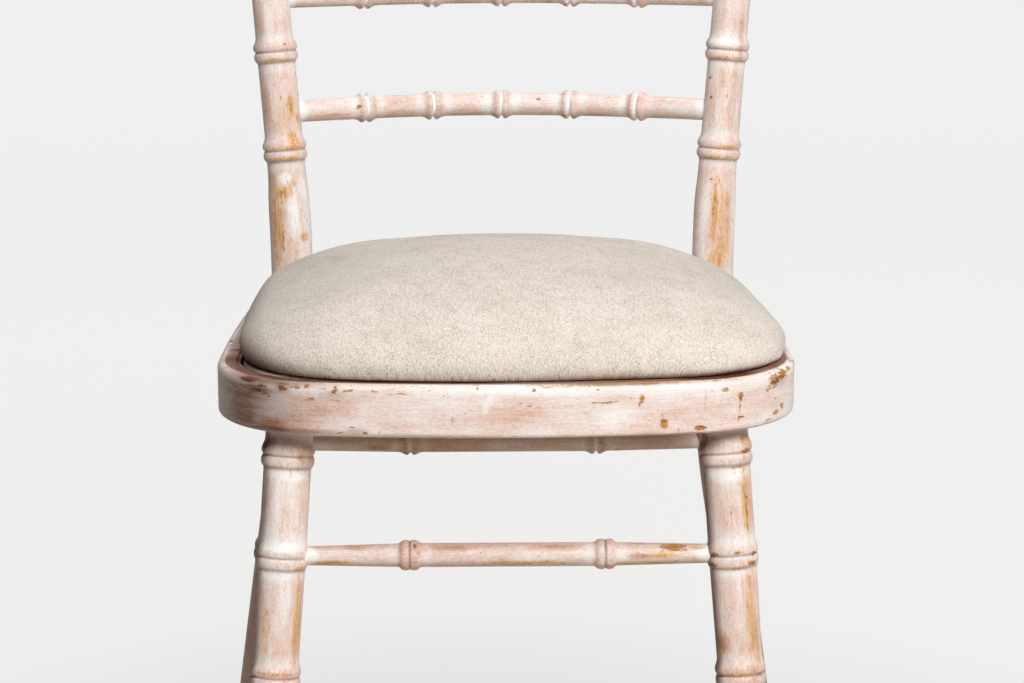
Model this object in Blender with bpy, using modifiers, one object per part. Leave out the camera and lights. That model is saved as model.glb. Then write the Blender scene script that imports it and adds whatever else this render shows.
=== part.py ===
"""A bamboo-turned banqueting chair in lime-washed beech with a drop-in seat pad.

The chair stands on z = 0 and faces -Y. X = 0 is its plane of symmetry, and left and right
are the sides seen from the front. The sizes below are measured from the middle of the seat,
and every finished mesh is then moved so that the origin is under the middle of the whole
chair. Every size is in metres.
"""

import math

import bmesh
import bpy
from mathutils import Matrix, Vector

# Clearance between pieces that touch, and how far a boring tool runs past a face
GAP = 0.0003
RUN_OUT = 0.01

# Seat frame, a bent hoop that stands on edge, with a rabbet for the pad
SEAT_HEIGHT = 0.450
SEAT_WIDTH = 0.410
SEAT_REAR_WIDTH = 0.392
SEAT_DEPTH = 0.400
SEAT_CORNER = 0.086
FRAME_HEIGHT = 0.037
FRONT_BOW = 0.009
SIDE_BOW = 0.002
REAR_BOW = 0.007
RIM_WIDTH = 0.016
RIM_ROUND = 0.0035
LEDGE_WIDTH = 0.010
LEDGE_DROP = 0.010

# Corner blocks, glued and screwed inside the hoop, whose underside stays above the hoop's
BLOCK_LIFT = 0.003

# Drop-in pad: a plywood board with foam and linen pulled over its edge. It is loose, and lies a
# little forward and turned. The swing is how far that carries the ends of its straight front edge.
BOARD_THICKNESS = 0.009
BOARD_PLAY = 0.0073
BOARD_CORNER = 0.0863
COVER_THICKNESS = 0.0015
PAD_SWING = 0.00433
PAD_FORWARD = 0.0035
PAD_LIP = 0.0069
PAD_BULGE = 0.0033
PAD_RISE = 0.0555
PAD_EDGE_SHARE = 0.19
PAD_CROWN_SHARE = 0.11
PAD_DOME = 1.75
PAD_SHOULDER = 1.60

# Front legs, straight, leaning out to the sides and forward. Each stands under a front corner,
# an inset in from the hoop's outer face on a line that slants across the corner.
LEG_INSET = 0.032
LEG_SLANT = math.radians(52.75)
FRONT_SPLAY = 0.068
FRONT_RAKE = 0.142
FRONT_LEG_TOP_DIAMETER = 0.0333
FRONT_LEG_LOW_DIAMETER = 0.0316
FRONT_LEG_FOOT_DIAMETER = 0.0270
FRONT_RING_DROPS = (0.0222, 0.0930, 0.1768, 0.2650)
FRONT_RING_DIAMETERS = (0.0375, 0.0362, 0.0357, 0.0345)
LEG_TENON_DIAMETER = 0.020
LEG_TENON_LENGTH = 0.019

# Rear posts, each one bent piece from the foot to the top of the back. Each laps a rear corner,
# its middle just outside the hoop's outer face on a line that slants across the corner.
POST_OUTSET = 0.006
POST_SLANT = math.radians(49.54)
POST_FOOT_SPREAD = 0.0546
POST_FOOT_SETBACK = 0.0660
POST_BEND_DROP = 0.068
POST_KNEE_RISE = 0.055
POST_BEND_REACH = 0.090
POST_KNEE_REACH = 0.055
BACK_HEIGHT = 0.890
BACK_FLARE = 0.082
BACK_LEAN = 0.085
POST_DIAMETER = 0.0334
BACK_DIAMETER = 0.0300
POST_FOOT_DIAMETER = 0.0270
SWELL_RISE = 0.085
SWELL_LENGTH = 0.012
FOOT_RING_DROP = 0.193
SEAT_RING_DROP = 0.0296
POST_RING_SHARE = 0.536
POST_RING_DIAMETERS = (0.0362, 0.0352, 0.0350, 0.0348, 0.0345)
CAP_NECK_DROP = 0.011

# Rings: each pair is two rolls with a groove between them, and a flare on either side
LEG_RING_LENGTH = 0.0155
LEG_RING_FLARE = 0.0065
LEG_GROOVE_DEPTH = 0.0016
RUNG_RING_LENGTH = 0.0145
RUNG_RING_FLARE = 0.0040
RUNG_GROOVE_DEPTH = 0.0013

# Back rails, bowed backwards, with five ring pairs each. They are spread evenly between the lowest
# and the top one, and the posts have a ring pair above each but the last.
RAILS = 4
FIRST_RAIL_RISE = 0.138
TOP_RAIL_DROP = 0.0299
RAIL_BOW = 0.049
RAIL_DIAMETER = 0.0180
RAIL_END_DIAMETER = 0.0167
RAIL_RING_DIAMETER = 0.0234
RAIL_RING_PITCH = 0.0565
RAIL_RINGS = 5

# Stretchers, straight, with two ring pairs each. The front one meets the legs at their second
# rings, and the side ones at the third and fourth.
REAR_STRETCHER_DROP = 0.097
STRETCHER_DIAMETER = 0.0168
STRETCHER_END_DIAMETER = 0.0131
STRETCHER_RING_DIAMETER = 0.0214
FRONT_RING_SPAN = 0.1371
REAR_RING_SPAN = 0.1520
SIDE_RING_SPAN = 0.1500

# Round tenons of rails and stretchers, and the counterbore that takes the full end
RUNG_TENON_DIAMETER = 0.0100
RUNG_TENON_LENGTH = 0.0080
RUNG_SEAT_DEPTH = 0.0035

# Screws: two hold each front block to the hoop, two hold each rear post
SCREW_DIAMETER = 0.0042
SCREW_HEAD_DIAMETER = 0.0080
SCREW_HEAD_HEIGHT = 0.0028
SCREW_HEAD_PLAY = 0.0006
SCREW_SPREAD = 0.027
SCREW_BITE = 0.013
POST_SCREW_BITE = 0.016

# Fineness of the faceted forms
POST_SIDES = 12
RUNG_SIDES = 10
SCREW_SIDES = 6
CORNER_STEPS = 6
PAD_STEPS = 6
SIDE_STEPS = 6
BEND_STEPS = 6
RAIL_STEPS = 24

UNDERSIDE = SEAT_HEIGHT - FRAME_HEIGHT
LEDGE_HEIGHT = SEAT_HEIGHT - LEDGE_DROP
HOOP_THICKNESS = RIM_WIDTH + LEDGE_WIDTH
BLOCK_HEIGHT = FRAME_HEIGHT - LEDGE_DROP - BLOCK_LIFT
POST_SCREW_PITCH = (BLOCK_HEIGHT + SCREW_HEAD_DIAMETER) / 3
PAD_TURN = PAD_SWING / (SEAT_WIDTH / 2 - RIM_WIDTH - BOARD_PLAY - BOARD_CORNER)
SIDES = (("left", -1), ("right", 1))

# Where the legs and posts meet the corners of the hoop, by the centre that each corner turns about
FRONT_CENTRE_X = SEAT_WIDTH / 2 - SEAT_CORNER
FRONT_CENTRE_Y = -SEAT_DEPTH / 2 + SEAT_CORNER + FRONT_BOW
REAR_CENTRE_X = SEAT_REAR_WIDTH / 2 - SEAT_CORNER
REAR_CENTRE_Y = SEAT_DEPTH / 2 - SEAT_CORNER - REAR_BOW
FRONT_LEG_X = FRONT_CENTRE_X + (SEAT_CORNER - LEG_INSET) * math.cos(LEG_SLANT)
FRONT_LEG_Y = FRONT_CENTRE_Y - (SEAT_CORNER - LEG_INSET) * math.sin(LEG_SLANT)
POST_SEAT_X = REAR_CENTRE_X + (SEAT_CORNER + POST_OUTSET) * math.cos(POST_SLANT)
POST_SEAT_Y = REAR_CENTRE_Y + (SEAT_CORNER + POST_OUTSET) * math.sin(POST_SLANT)

# Heights above the floor that follow the seat's and the back's
FIRST_RAIL_HEIGHT = SEAT_HEIGHT + FIRST_RAIL_RISE
RAIL_PITCH = (BACK_HEIGHT - TOP_RAIL_DROP - FIRST_RAIL_HEIGHT) / (RAILS - 1)
RAIL_HEIGHTS = [FIRST_RAIL_HEIGHT + RAIL_PITCH * rail for rail in range(RAILS)]
POST_KNEE_HEIGHT = SEAT_HEIGHT + POST_KNEE_RISE
POST_BEND_HEIGHT = UNDERSIDE - POST_BEND_DROP
POST_RING_HEIGHTS = [UNDERSIDE - FOOT_RING_DROP, FIRST_RAIL_HEIGHT - SEAT_RING_DROP]
POST_RING_HEIGHTS += [height + RAIL_PITCH * POST_RING_SHARE for height in RAIL_HEIGHTS[:-1]]
FRONT_RING_HEIGHTS = [UNDERSIDE - drop for drop in FRONT_RING_DROPS]

# The chair reaches from its front feet to the bow of its top rail
FRONT_REACH = FRONT_LEG_Y - FRONT_RAKE * UNDERSIDE - FRONT_LEG_FOOT_DIAMETER / 2
TOP_RAIL_Y = POST_SEAT_Y + BACK_LEAN * (RAIL_HEIGHTS[-1] - POST_KNEE_HEIGHT)
BACK_REACH = TOP_RAIL_Y + RAIL_BOW + RAIL_RING_DIAMETER / 2
CENTRING = Matrix.Translation((0.0, -(FRONT_REACH + BACK_REACH) / 2, 0.0))


def clear_scene():
    """Removes whatever the file holds, so that the script can run again."""
    for obj in list(bpy.data.objects):
        bpy.data.objects.remove(obj)
    for collection in list(bpy.data.collections):
        bpy.data.collections.remove(collection)


def new_collection(name):
    collection = bpy.data.collections.new(name)
    bpy.context.scene.collection.children.link(collection)
    return collection


def new_material(name, colour, roughness, metallic=0.0):
    material = bpy.data.materials.new(name)
    material.use_nodes = True
    shader = material.node_tree.nodes["Principled BSDF"]
    shader.inputs["Base Color"].default_value = (*colour, 1.0)
    shader.inputs["Roughness"].default_value = roughness
    shader.inputs["Metallic"].default_value = metallic
    material.diffuse_color = (*colour, 1.0)
    return material


def new_part(name, mesh, material):
    """A visible sub-part, shaded smooth but for its sharp edges."""
    mesh.transform(CENTRING)
    obj = bpy.data.objects.new(name, mesh)
    obj.data.materials.append(material)
    mesh.shade_smooth()
    mesh.set_sharp_from_angle(angle=math.radians(40))
    chair.objects.link(obj)
    return obj


def new_tool(name, mesh):
    """A cutter or a piece to join on, which isn't part of the chair by itself."""
    mesh.transform(CENTRING)
    obj = bpy.data.objects.new(name, mesh)
    obj.display_type = "WIRE"
    obj.hide_render = True
    tools.objects.link(obj)
    return obj


def combine(part, tool, operation="DIFFERENCE"):
    boolean = part.modifiers.new(tool.name, "BOOLEAN")
    boolean.operation = operation
    boolean.object = tool
    boolean.solver = "EXACT"


class Route:
    """A line through space, measured by the distance along it from its first point."""

    def __init__(self, points, side):
        self.points = [Vector(point) for point in points]
        self.side = Vector(side)
        self.distances = [0.0]
        for before, after in zip(self.points, self.points[1:]):
            self.distances.append(self.distances[-1] + (after - before).length)
        self.length = self.distances[-1]

    def corner_direction(self, index):
        """The direction of the line at one of its points."""
        before = self.points[max(index - 1, 0)]
        after = self.points[min(index + 1, len(self.points) - 1)]
        return (after - before).normalized()

    def leg_of(self, distance):
        """The stretch between two points that a distance falls in."""
        index = 0
        while index < len(self.points) - 2 and self.distances[index + 1] < distance:
            index += 1
        return index

    def at(self, distance):
        """The point at a distance, and three axes there: across, across and along."""
        index = self.leg_of(distance)
        start, end = self.points[index], self.points[index + 1]
        share = (distance - self.distances[index]) / (end - start).length
        place = start.lerp(end, share)
        turn = min(max(share, 0.0), 1.0)
        along = self.corner_direction(index).lerp(self.corner_direction(index + 1), turn)
        along.normalize()
        across = (self.side - along * self.side.dot(along)).normalized()
        return place, across, along.cross(across), along

    def distance_at_height(self, height):
        """Where a rising line passes a height."""
        for index in range(len(self.points) - 1):
            if self.points[index + 1].z >= height or index == len(self.points) - 2:
                start, end = self.points[index], self.points[index + 1]
                share = (height - start.z) / (end.z - start.z)
                return self.distances[index] + share * (end - start).length

    def at_height(self, height):
        return self.at(self.distance_at_height(height))[0]


def straight_route(start, end, side):
    return Route((start, end), side)


def bent_route(corners, reaches, side):
    """A line whose corners are eased over a reach on either side, as steamed wood bends."""
    points = [Vector(corners[0])]
    for before, corner, after, reach in zip(corners, corners[1:], corners[2:], reaches):
        before, corner, after = Vector(before), Vector(corner), Vector(after)
        start = corner + (before - corner).normalized() * reach
        end = corner + (after - corner).normalized() * reach
        for step in range(BEND_STEPS + 1):
            share = step / BEND_STEPS
            points.append(start.lerp(corner, share).lerp(corner.lerp(end, share), share))
    points.append(Vector(corners[-1]))
    return Route(points, side)


def bowed_route(start, end, bow):
    """A flat arc from start to end that bulges backwards by the bow."""
    points = []
    for step in range(RAIL_STEPS + 1):
        share = step / RAIL_STEPS
        bulge = Vector((0.0, bow * 4 * share * (1 - share), 0.0))
        points.append(start.lerp(end, share) + bulge)
    return Route(points, (0, 0, 1))


def turned_mesh(outline, sides, route):
    """A turned piece bent along a route. Its outline is (distance along the route, radius).

    The outline is screwed round Z as a lathe would turn it, from its top to its bottom,
    and the straight blank is then bent to the route.
    """
    profile = bpy.data.meshes.new("outline")
    shape = bmesh.new()
    points = [shape.verts.new((radius, 0.0, height)) for height, radius in reversed(outline)]
    for upper, lower in zip(points, points[1:]):
        shape.edges.new((upper, lower))
    shape.to_mesh(profile)
    shape.free()
    blank = bpy.data.objects.new("blank", profile)
    bpy.context.scene.collection.objects.link(blank)
    screw = blank.modifiers.new("Screw", "SCREW")
    screw.steps = sides
    screw.render_steps = sides
    screw.use_merge_vertices = True
    screw.merge_threshold = 0.00001
    bpy.context.view_layer.update()
    evaluated = blank.evaluated_get(bpy.context.evaluated_depsgraph_get())
    mesh = bpy.data.meshes.new_from_object(evaluated)
    bpy.data.objects.remove(blank)
    for vertex in mesh.vertices:
        place, across, over, _ = route.at(vertex.co.z)
        vertex.co = place + across * vertex.co.x + over * vertex.co.y
    return mesh


def shaft_radius(stations, distance):
    """The radius of a tapering shaft between the (distance, radius) stations that size it."""
    for (start, first), (end, last) in zip(stations, stations[1:]):
        if distance <= end:
            share = max(0.0, (distance - start) / (end - start))
            return first + (last - first) * share
    return stations[-1][1]


def ring_pair(centre, roll, groove, length, flare, stations):
    """The outline of one ring pair: flare, roll, groove, roll, flare."""
    half = length / 2
    before = shaft_radius(stations, centre - half - flare)
    after = shaft_radius(stations, centre + half + flare)
    return [
        (centre - half - flare, before),
        (centre - half * 0.90, before + (roll - before) * 0.60),
        (centre - half * 0.50, roll),
        (centre, roll - groove),
        (centre + half * 0.50, roll),
        (centre + half * 0.90, after + (roll - after) * 0.60),
        (centre + half + flare, after),
    ]


def turned_outline(stations, rings, ring_length, flare, groove):
    """A whole outline: the shaft's own points with the ring pairs set between them."""
    reach = ring_length / 2 + flare
    outline = [
        station
        for station in stations
        if all(abs(station[0] - centre) > reach + 0.001 for centre, _ in rings)
    ]
    for centre, diameter in rings:
        outline += ring_pair(centre, diameter / 2, groove, ring_length, flare, stations)
    outline.sort()
    first, last = outline[0][0], outline[-1][0]
    return [(first, 0.0)] + outline + [(last, 0.0)]


def box_mesh(low, high):
    mesh = bpy.data.meshes.new("box")
    shape = bmesh.new()
    size = Vector(high) - Vector(low)
    middle = (Vector(high) + Vector(low)) / 2
    matrix = Matrix.Translation(middle) @ Matrix.Diagonal((*size, 1.0))
    bmesh.ops.create_cube(shape, size=1.0, matrix=matrix)
    shape.to_mesh(mesh)
    shape.free()
    return mesh


def lofted_mesh(loops, closed):
    """Skins loops of points. A closed loft joins the last loop to the first, others get ends."""
    mesh = bpy.data.meshes.new("loft")
    shape = bmesh.new()
    rings = [[shape.verts.new(point) for point in loop] for loop in loops]
    for upper, lower in zip(rings, rings[1:] + rings[:1]):
        if lower is rings[0] and not closed:
            continue
        for index in range(len(upper)):
            shape.faces.new((upper[index - 1], upper[index], lower[index], lower[index - 1]))
    if not closed:
        shape.faces.new(rings[0])
        shape.faces.new(rings[-1])
    bmesh.ops.recalc_face_normals(shape, faces=shape.faces)
    shape.to_mesh(mesh)
    shape.free()
    return mesh


def outline_stations(margin, corner_radius):
    """Pairs of a core point and an outward direction, anticlockwise as seen from above.

    They describe an outline that lies a margin inside the seat's, with its own corner radius.
    It is a four-sided core with bowed sides, pushed outwards by the corner radius, so that a
    line at any inset from it is found by pushing less. The core's sides lie as far inside
    those of the hoop's own as the margin and the radius ask.
    """
    centres = (
        Vector((-FRONT_CENTRE_X, FRONT_CENTRE_Y)),
        Vector((FRONT_CENTRE_X, FRONT_CENTRE_Y)),
        Vector((REAR_CENTRE_X, REAR_CENTRE_Y)),
        Vector((-REAR_CENTRE_X, REAR_CENTRE_Y)),
    )
    outwards = []
    for start, end in zip(centres, centres[1:] + centres[:1]):
        along = (end - start).normalized()
        outwards.append(Vector((along.y, -along.x)))
    inset = margin + corner_radius - SEAT_CORNER
    corners = []
    for index, centre in enumerate(centres):
        both = outwards[index - 1] + outwards[index]
        corners.append(centre - both * inset / (1 + outwards[index - 1].dot(outwards[index])))
    bows = (FRONT_BOW, SIDE_BOW, REAR_BOW, SIDE_BOW)
    sides = []
    for index, bow in enumerate(bows):
        start, end = corners[index], corners[(index + 1) % 4]
        length = (end - start).length
        along = (end - start) / length
        outward = Vector((along.y, -along.x))
        side = []
        for step in range(SIDE_STEPS + 1):
            share = step / SIDE_STEPS
            core = start.lerp(end, share) + outward * bow * 4 * share * (1 - share)
            slope = 4 * bow * (1 - 2 * share) / length
            side.append((core, (outward - along * slope).normalized()))
        sides.append(side)
    stations = []
    for index, side in enumerate(sides):
        stations += side
        core, leaving = side[-1]
        arriving = sides[(index + 1) % 4][0][1]
        turn = leaving.angle(arriving)
        for step in range(1, CORNER_STEPS):
            angle = turn * step / CORNER_STEPS
            stations.append((core, Matrix.Rotation(angle, 2) @ leaving))
    return stations


def line_at(stations, push, height):
    """Points round an outline at a height, pushed out from its core."""
    places = [core + outward * push for core, outward in stations]
    return [Vector((place.x, place.y, height)) for place in places]


def seat_line(inset, height):
    """Points round the seat that far inside its outer face, at a height."""
    return line_at(outline_stations(0.0, SEAT_CORNER), SEAT_CORNER - inset, height)


def pad_line(growth, height):
    """Points round the pad's board at a height, that far outside the board's edge.

    The pad is loose in the frame, so it lies a little forward and turned.
    """
    stations = outline_stations(RIM_WIDTH + BOARD_PLAY, BOARD_CORNER)
    place = Matrix.Translation((0.0, -PAD_FORWARD, 0.0)) @ Matrix.Rotation(PAD_TURN, 4, "Z")
    return [place @ point for point in line_at(stations, BOARD_CORNER + growth, height)]


def corner_stations(corner):
    """The stations round one corner of the seat and one step along the sides beside it.

    Corner 0 is the front right, and they go on anticlockwise seen from above.
    """
    per_side = SIDE_STEPS + CORNER_STEPS
    first = corner * per_side + SIDE_STEPS - 1
    stations = outline_stations(0.0, SEAT_CORNER)
    return [stations[(first + step) % len(stations)] for step in range(CORNER_STEPS + 3)]


def build_seat_frame():
    """The hoop: its section is a rim with a ledge inside, carried round the seat outline."""
    section = (
        (RIM_ROUND, UNDERSIDE),
        (RIM_ROUND * 0.3, UNDERSIDE + RIM_ROUND * 0.3),
        (0.0, UNDERSIDE + RIM_ROUND),
        (0.0, SEAT_HEIGHT - RIM_ROUND),
        (RIM_ROUND * 0.3, SEAT_HEIGHT - RIM_ROUND * 0.3),
        (RIM_ROUND, SEAT_HEIGHT),
        (RIM_WIDTH - RIM_ROUND * 0.3, SEAT_HEIGHT),
        (RIM_WIDTH, SEAT_HEIGHT - RIM_ROUND * 0.3),
        (RIM_WIDTH, LEDGE_HEIGHT),
        (HOOP_THICKNESS, LEDGE_HEIGHT),
        (HOOP_THICKNESS, UNDERSIDE),
    )
    loops = [seat_line(inset, height) for inset, height in section]
    return new_part("seat_frame", lofted_mesh(loops, True), beech)


def build_corner_block(name, corner):
    """A block that fills a corner of the hoop below the ledge, with a straight inner face."""
    stations = corner_stations(corner)
    push = SEAT_CORNER - HOOP_THICKNESS - GAP
    heights = (LEDGE_HEIGHT - BLOCK_HEIGHT, LEDGE_HEIGHT - GAP)
    loops = [line_at(stations, push, height) for height in heights]
    return new_part(name, lofted_mesh(loops, False), bare_beech)


def corner_frame(corner):
    """The middle of a block's inner face, the way out through the corner, and along the face."""
    line = line_at(corner_stations(corner), SEAT_CORNER - HOOP_THICKNESS - GAP, 0.0)
    start, end = Vector(line[0]).xy, Vector(line[-1]).xy
    along = (end - start).normalized()
    return (start + end) / 2, Vector((along.y, -along.x)), along


def build_pad_board():
    low = LEDGE_HEIGHT + GAP
    loops = [pad_line(0.0, height) for height in (low, low + BOARD_THICKNESS)]
    return new_part("pad_board", lofted_mesh(loops, False), plywood)


def build_pad():
    """Foam and linen: a crowned form whose cover wraps the board's edge down to the ledge."""
    skirt = GAP + COVER_THICKNESS
    lip = skirt + PAD_LIP
    bulge = lip + PAD_BULGE
    base = LEDGE_HEIGHT + GAP
    edge_rise = PAD_RISE * PAD_EDGE_SHARE
    loops = [
        pad_line(skirt, base),
        pad_line(skirt, SEAT_HEIGHT + GAP),
        pad_line(lip, SEAT_HEIGHT + 2 * GAP),
        pad_line(lip + PAD_BULGE * 0.7, SEAT_HEIGHT + edge_rise * 0.45),
        pad_line(bulge, SEAT_HEIGHT + edge_rise),
    ]
    reach = BOARD_CORNER * 0.95
    climb = 1 - PAD_EDGE_SHARE - PAD_CROWN_SHARE
    for step in range(1, PAD_STEPS + 1):
        share = (step / PAD_STEPS) ** 1.6
        rise = PAD_EDGE_SHARE + climb * (1 - (1 - share) ** PAD_DOME) ** (1 / PAD_SHOULDER)
        loops.append(pad_line(bulge - reach * share, SEAT_HEIGHT + PAD_RISE * rise))
    crown = Vector((0.0, -PAD_FORWARD, SEAT_HEIGHT + PAD_RISE))
    last = loops[-1]
    for share in (0.40, 0.75):
        loop = [point.lerp(crown, share) for point in last]
        for point in loop:
            point.z = crown.z - PAD_RISE * PAD_CROWN_SHARE * (1 - share) ** 2
        loops.append(loop)
    pad = new_part("seat_pad", lofted_mesh(loops, False), linen)
    heights = (base - RUN_OUT, base + BOARD_THICKNESS + GAP)
    recess = [pad_line(GAP, height) for height in heights]
    combine(pad, new_tool("pad_recess", lofted_mesh(recess, False)))


def front_leg_route(sign):
    """From the floor up to the underside of the seat frame."""
    foot = (
        sign * (FRONT_LEG_X + FRONT_SPLAY * UNDERSIDE),
        FRONT_LEG_Y - FRONT_RAKE * UNDERSIDE,
        0.0,
    )
    return straight_route(foot, (sign * FRONT_LEG_X, FRONT_LEG_Y, UNDERSIDE), (1, 0, 0))


def post_route(sign):
    """From the floor to the top of the back, bent below the seat and again above it."""
    rise = BACK_HEIGHT - POST_KNEE_HEIGHT
    return bent_route(
        (
            (sign * (POST_SEAT_X + POST_FOOT_SPREAD), POST_SEAT_Y + POST_FOOT_SETBACK, 0.0),
            (sign * POST_SEAT_X, POST_SEAT_Y, POST_BEND_HEIGHT),
            (sign * POST_SEAT_X, POST_SEAT_Y, POST_KNEE_HEIGHT),
            (
                sign * (POST_SEAT_X + BACK_FLARE * rise),
                POST_SEAT_Y + BACK_LEAN * rise,
                BACK_HEIGHT,
            ),
        ),
        (POST_BEND_REACH, POST_KNEE_REACH),
        (1, 0, 0),
    )


def build_front_leg(name, sign):
    route = front_leg_route(sign)
    ring_places = [route.distance_at_height(height) for height in FRONT_RING_HEIGHTS]
    stations = (
        (-RUN_OUT, FRONT_LEG_FOOT_DIAMETER / 2),
        (ring_places[2], FRONT_LEG_LOW_DIAMETER / 2),
        (ring_places[1], FRONT_LEG_TOP_DIAMETER / 2),
        (route.length + RUN_OUT, FRONT_LEG_TOP_DIAMETER / 2),
    )
    outline = turned_outline(
        stations,
        list(zip(ring_places, FRONT_RING_DIAMETERS)),
        LEG_RING_LENGTH,
        LEG_RING_FLARE,
        LEG_GROOVE_DEPTH,
    )
    leg = new_part(name, turned_mesh(outline, POST_SIDES, route), beech)
    combine(leg, floor)
    combine(leg, seat_plane)
    tenon = leg_tenon(route, LEG_TENON_DIAMETER / 2, LEG_TENON_LENGTH)
    combine(leg, new_tool(name + "_tenon", tenon), "UNION")
    return leg


def leg_tenon(route, radius, length):
    """A round peg on a leg's axis that starts inside the leg and rises past its shoulder."""
    start, end = route.length - RUN_OUT, route.length + length
    outline = ((start, 0.0), (start, radius), (end, radius), (end, 0.0))
    return turned_mesh(outline, POST_SIDES, route)


def build_rear_post(name, sign):
    route = post_route(sign)
    ring_places = [route.distance_at_height(height) for height in POST_RING_HEIGHTS]
    swell = route.distance_at_height(SEAT_HEIGHT + SWELL_RISE)
    bend = route.distance_at_height(POST_BEND_HEIGHT)
    knee = route.distance_at_height(POST_KNEE_HEIGHT)
    neck = route.length - CAP_NECK_DROP
    stations = [(-RUN_OUT, POST_FOOT_DIAMETER / 2)]
    stations += [(ring_places[0], POST_DIAMETER / 2 * 0.97)]
    for step in range(BEND_STEPS):
        share = 2 * step / (BEND_STEPS - 1) - 1
        stations.append((bend + POST_BEND_REACH * share, POST_DIAMETER / 2))
    stations += [
        (route.distance_at_height(UNDERSIDE - RUN_OUT), POST_DIAMETER / 2),
        (knee - POST_KNEE_REACH * 0.8, POST_DIAMETER / 2),
        (knee - POST_KNEE_REACH * 0.4, POST_DIAMETER / 2),
        (knee, POST_DIAMETER / 2),
        (swell - SWELL_LENGTH, POST_DIAMETER / 2),
        (swell, BACK_DIAMETER / 2 * 1.02),
        (route.distance_at_height(RAIL_HEIGHTS[0]), BACK_DIAMETER / 2),
        (neck, BACK_DIAMETER / 2 * 0.94),
        (route.length - CAP_NECK_DROP * 0.80, BACK_DIAMETER / 2 * 1.06),
        (route.length - CAP_NECK_DROP * 0.35, BACK_DIAMETER / 2 * 0.98),
        (route.length - CAP_NECK_DROP * 0.08, BACK_DIAMETER / 2 * 0.66),
        (route.length, BACK_DIAMETER / 2 * 0.30),
    ]
    outline = turned_outline(
        stations,
        list(zip(ring_places, POST_RING_DIAMETERS)),
        LEG_RING_LENGTH,
        LEG_RING_FLARE,
        LEG_GROOVE_DEPTH,
    )
    post = new_part(name, turned_mesh(outline, POST_SIDES, route), beech)
    combine(post, floor)
    combine(post, frame_notch)
    return post


def rung_outline(route, start_radius, end_radius, diameter, end_diameter, rings):
    """A rail or stretcher from tenon to tenon. The radii are those of the posts it joins."""
    start = start_radius - RUNG_SEAT_DEPTH
    end = route.length - end_radius + RUNG_SEAT_DEPTH
    stations = (
        (start, end_diameter / 2),
        (rings[0][0], diameter / 2),
        (rings[-1][0], diameter / 2),
        (end, end_diameter / 2),
    )
    outline = turned_outline(
        stations, rings, RUNG_RING_LENGTH, RUNG_RING_FLARE, RUNG_GROOVE_DEPTH
    )
    tenon = RUNG_TENON_DIAMETER / 2
    first, last = start - RUNG_TENON_LENGTH, end + RUNG_TENON_LENGTH
    outline = [(first, 0.0), (first, tenon), (start, tenon)] + outline[1:-1]
    return outline + [(end, tenon), (last, tenon), (last, 0.0)]


def socket_mesh(route, at_start, post_radius, end_diameter):
    """The boring for one end of a rail or stretcher: a tenon hole and a counterbore."""
    tenon, seat = RUNG_TENON_DIAMETER / 2 + GAP, end_diameter / 2 + GAP
    shoulder = post_radius - RUNG_SEAT_DEPTH - GAP
    bottom = shoulder - RUNG_TENON_LENGTH - GAP
    top = post_radius + RUN_OUT
    outline = [(bottom, 0.0), (bottom, tenon), (shoulder, tenon), (shoulder, seat)]
    outline += [(top, seat), (top, 0.0)]
    if not at_start:
        outline = [(route.length - distance, radius) for distance, radius in reversed(outline)]
    return turned_mesh(outline, RUNG_SIDES, route)


def build_rung(name, route, joined, radii, diameter, end_diameter, rings):
    """A rail or stretcher, and the sockets for it in the two pieces it joins."""
    outline = rung_outline(route, *radii, diameter, end_diameter, rings)
    new_part(name, turned_mesh(outline, RUNG_SIDES, route), beech)
    for at_start, post, radius in ((True, joined[0], radii[0]), (False, joined[1], radii[1])):
        tool = socket_mesh(route, at_start, radius, end_diameter)
        combine(post, new_tool(f"{name}_socket_{'start' if at_start else 'end'}", tool))


def build_back_rails(posts):
    left, right = post_route(-1), post_route(1)
    for index, height in enumerate(RAIL_HEIGHTS):
        route = bowed_route(left.at_height(height), right.at_height(height), RAIL_BOW)
        middle = route.length / 2
        offsets = [step - (RAIL_RINGS - 1) / 2 for step in range(RAIL_RINGS)]
        rings = [(middle + offset * RAIL_RING_PITCH, RAIL_RING_DIAMETER) for offset in offsets]
        build_rung(
            f"back_rail_{index + 1}",
            route,
            posts,
            (BACK_DIAMETER / 2, BACK_DIAMETER / 2),
            RAIL_DIAMETER,
            RAIL_END_DIAMETER,
            rings,
        )


def build_stretcher(name, start, end, joined, radii, ring_span):
    route = straight_route(start, end, (0, 0, 1))
    middle = route.length / 2
    rings = [(middle + offset * ring_span, STRETCHER_RING_DIAMETER) for offset in (-0.5, 0.5)]
    build_rung(
        name, route, joined, radii, STRETCHER_DIAMETER, STRETCHER_END_DIAMETER, rings
    )


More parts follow.
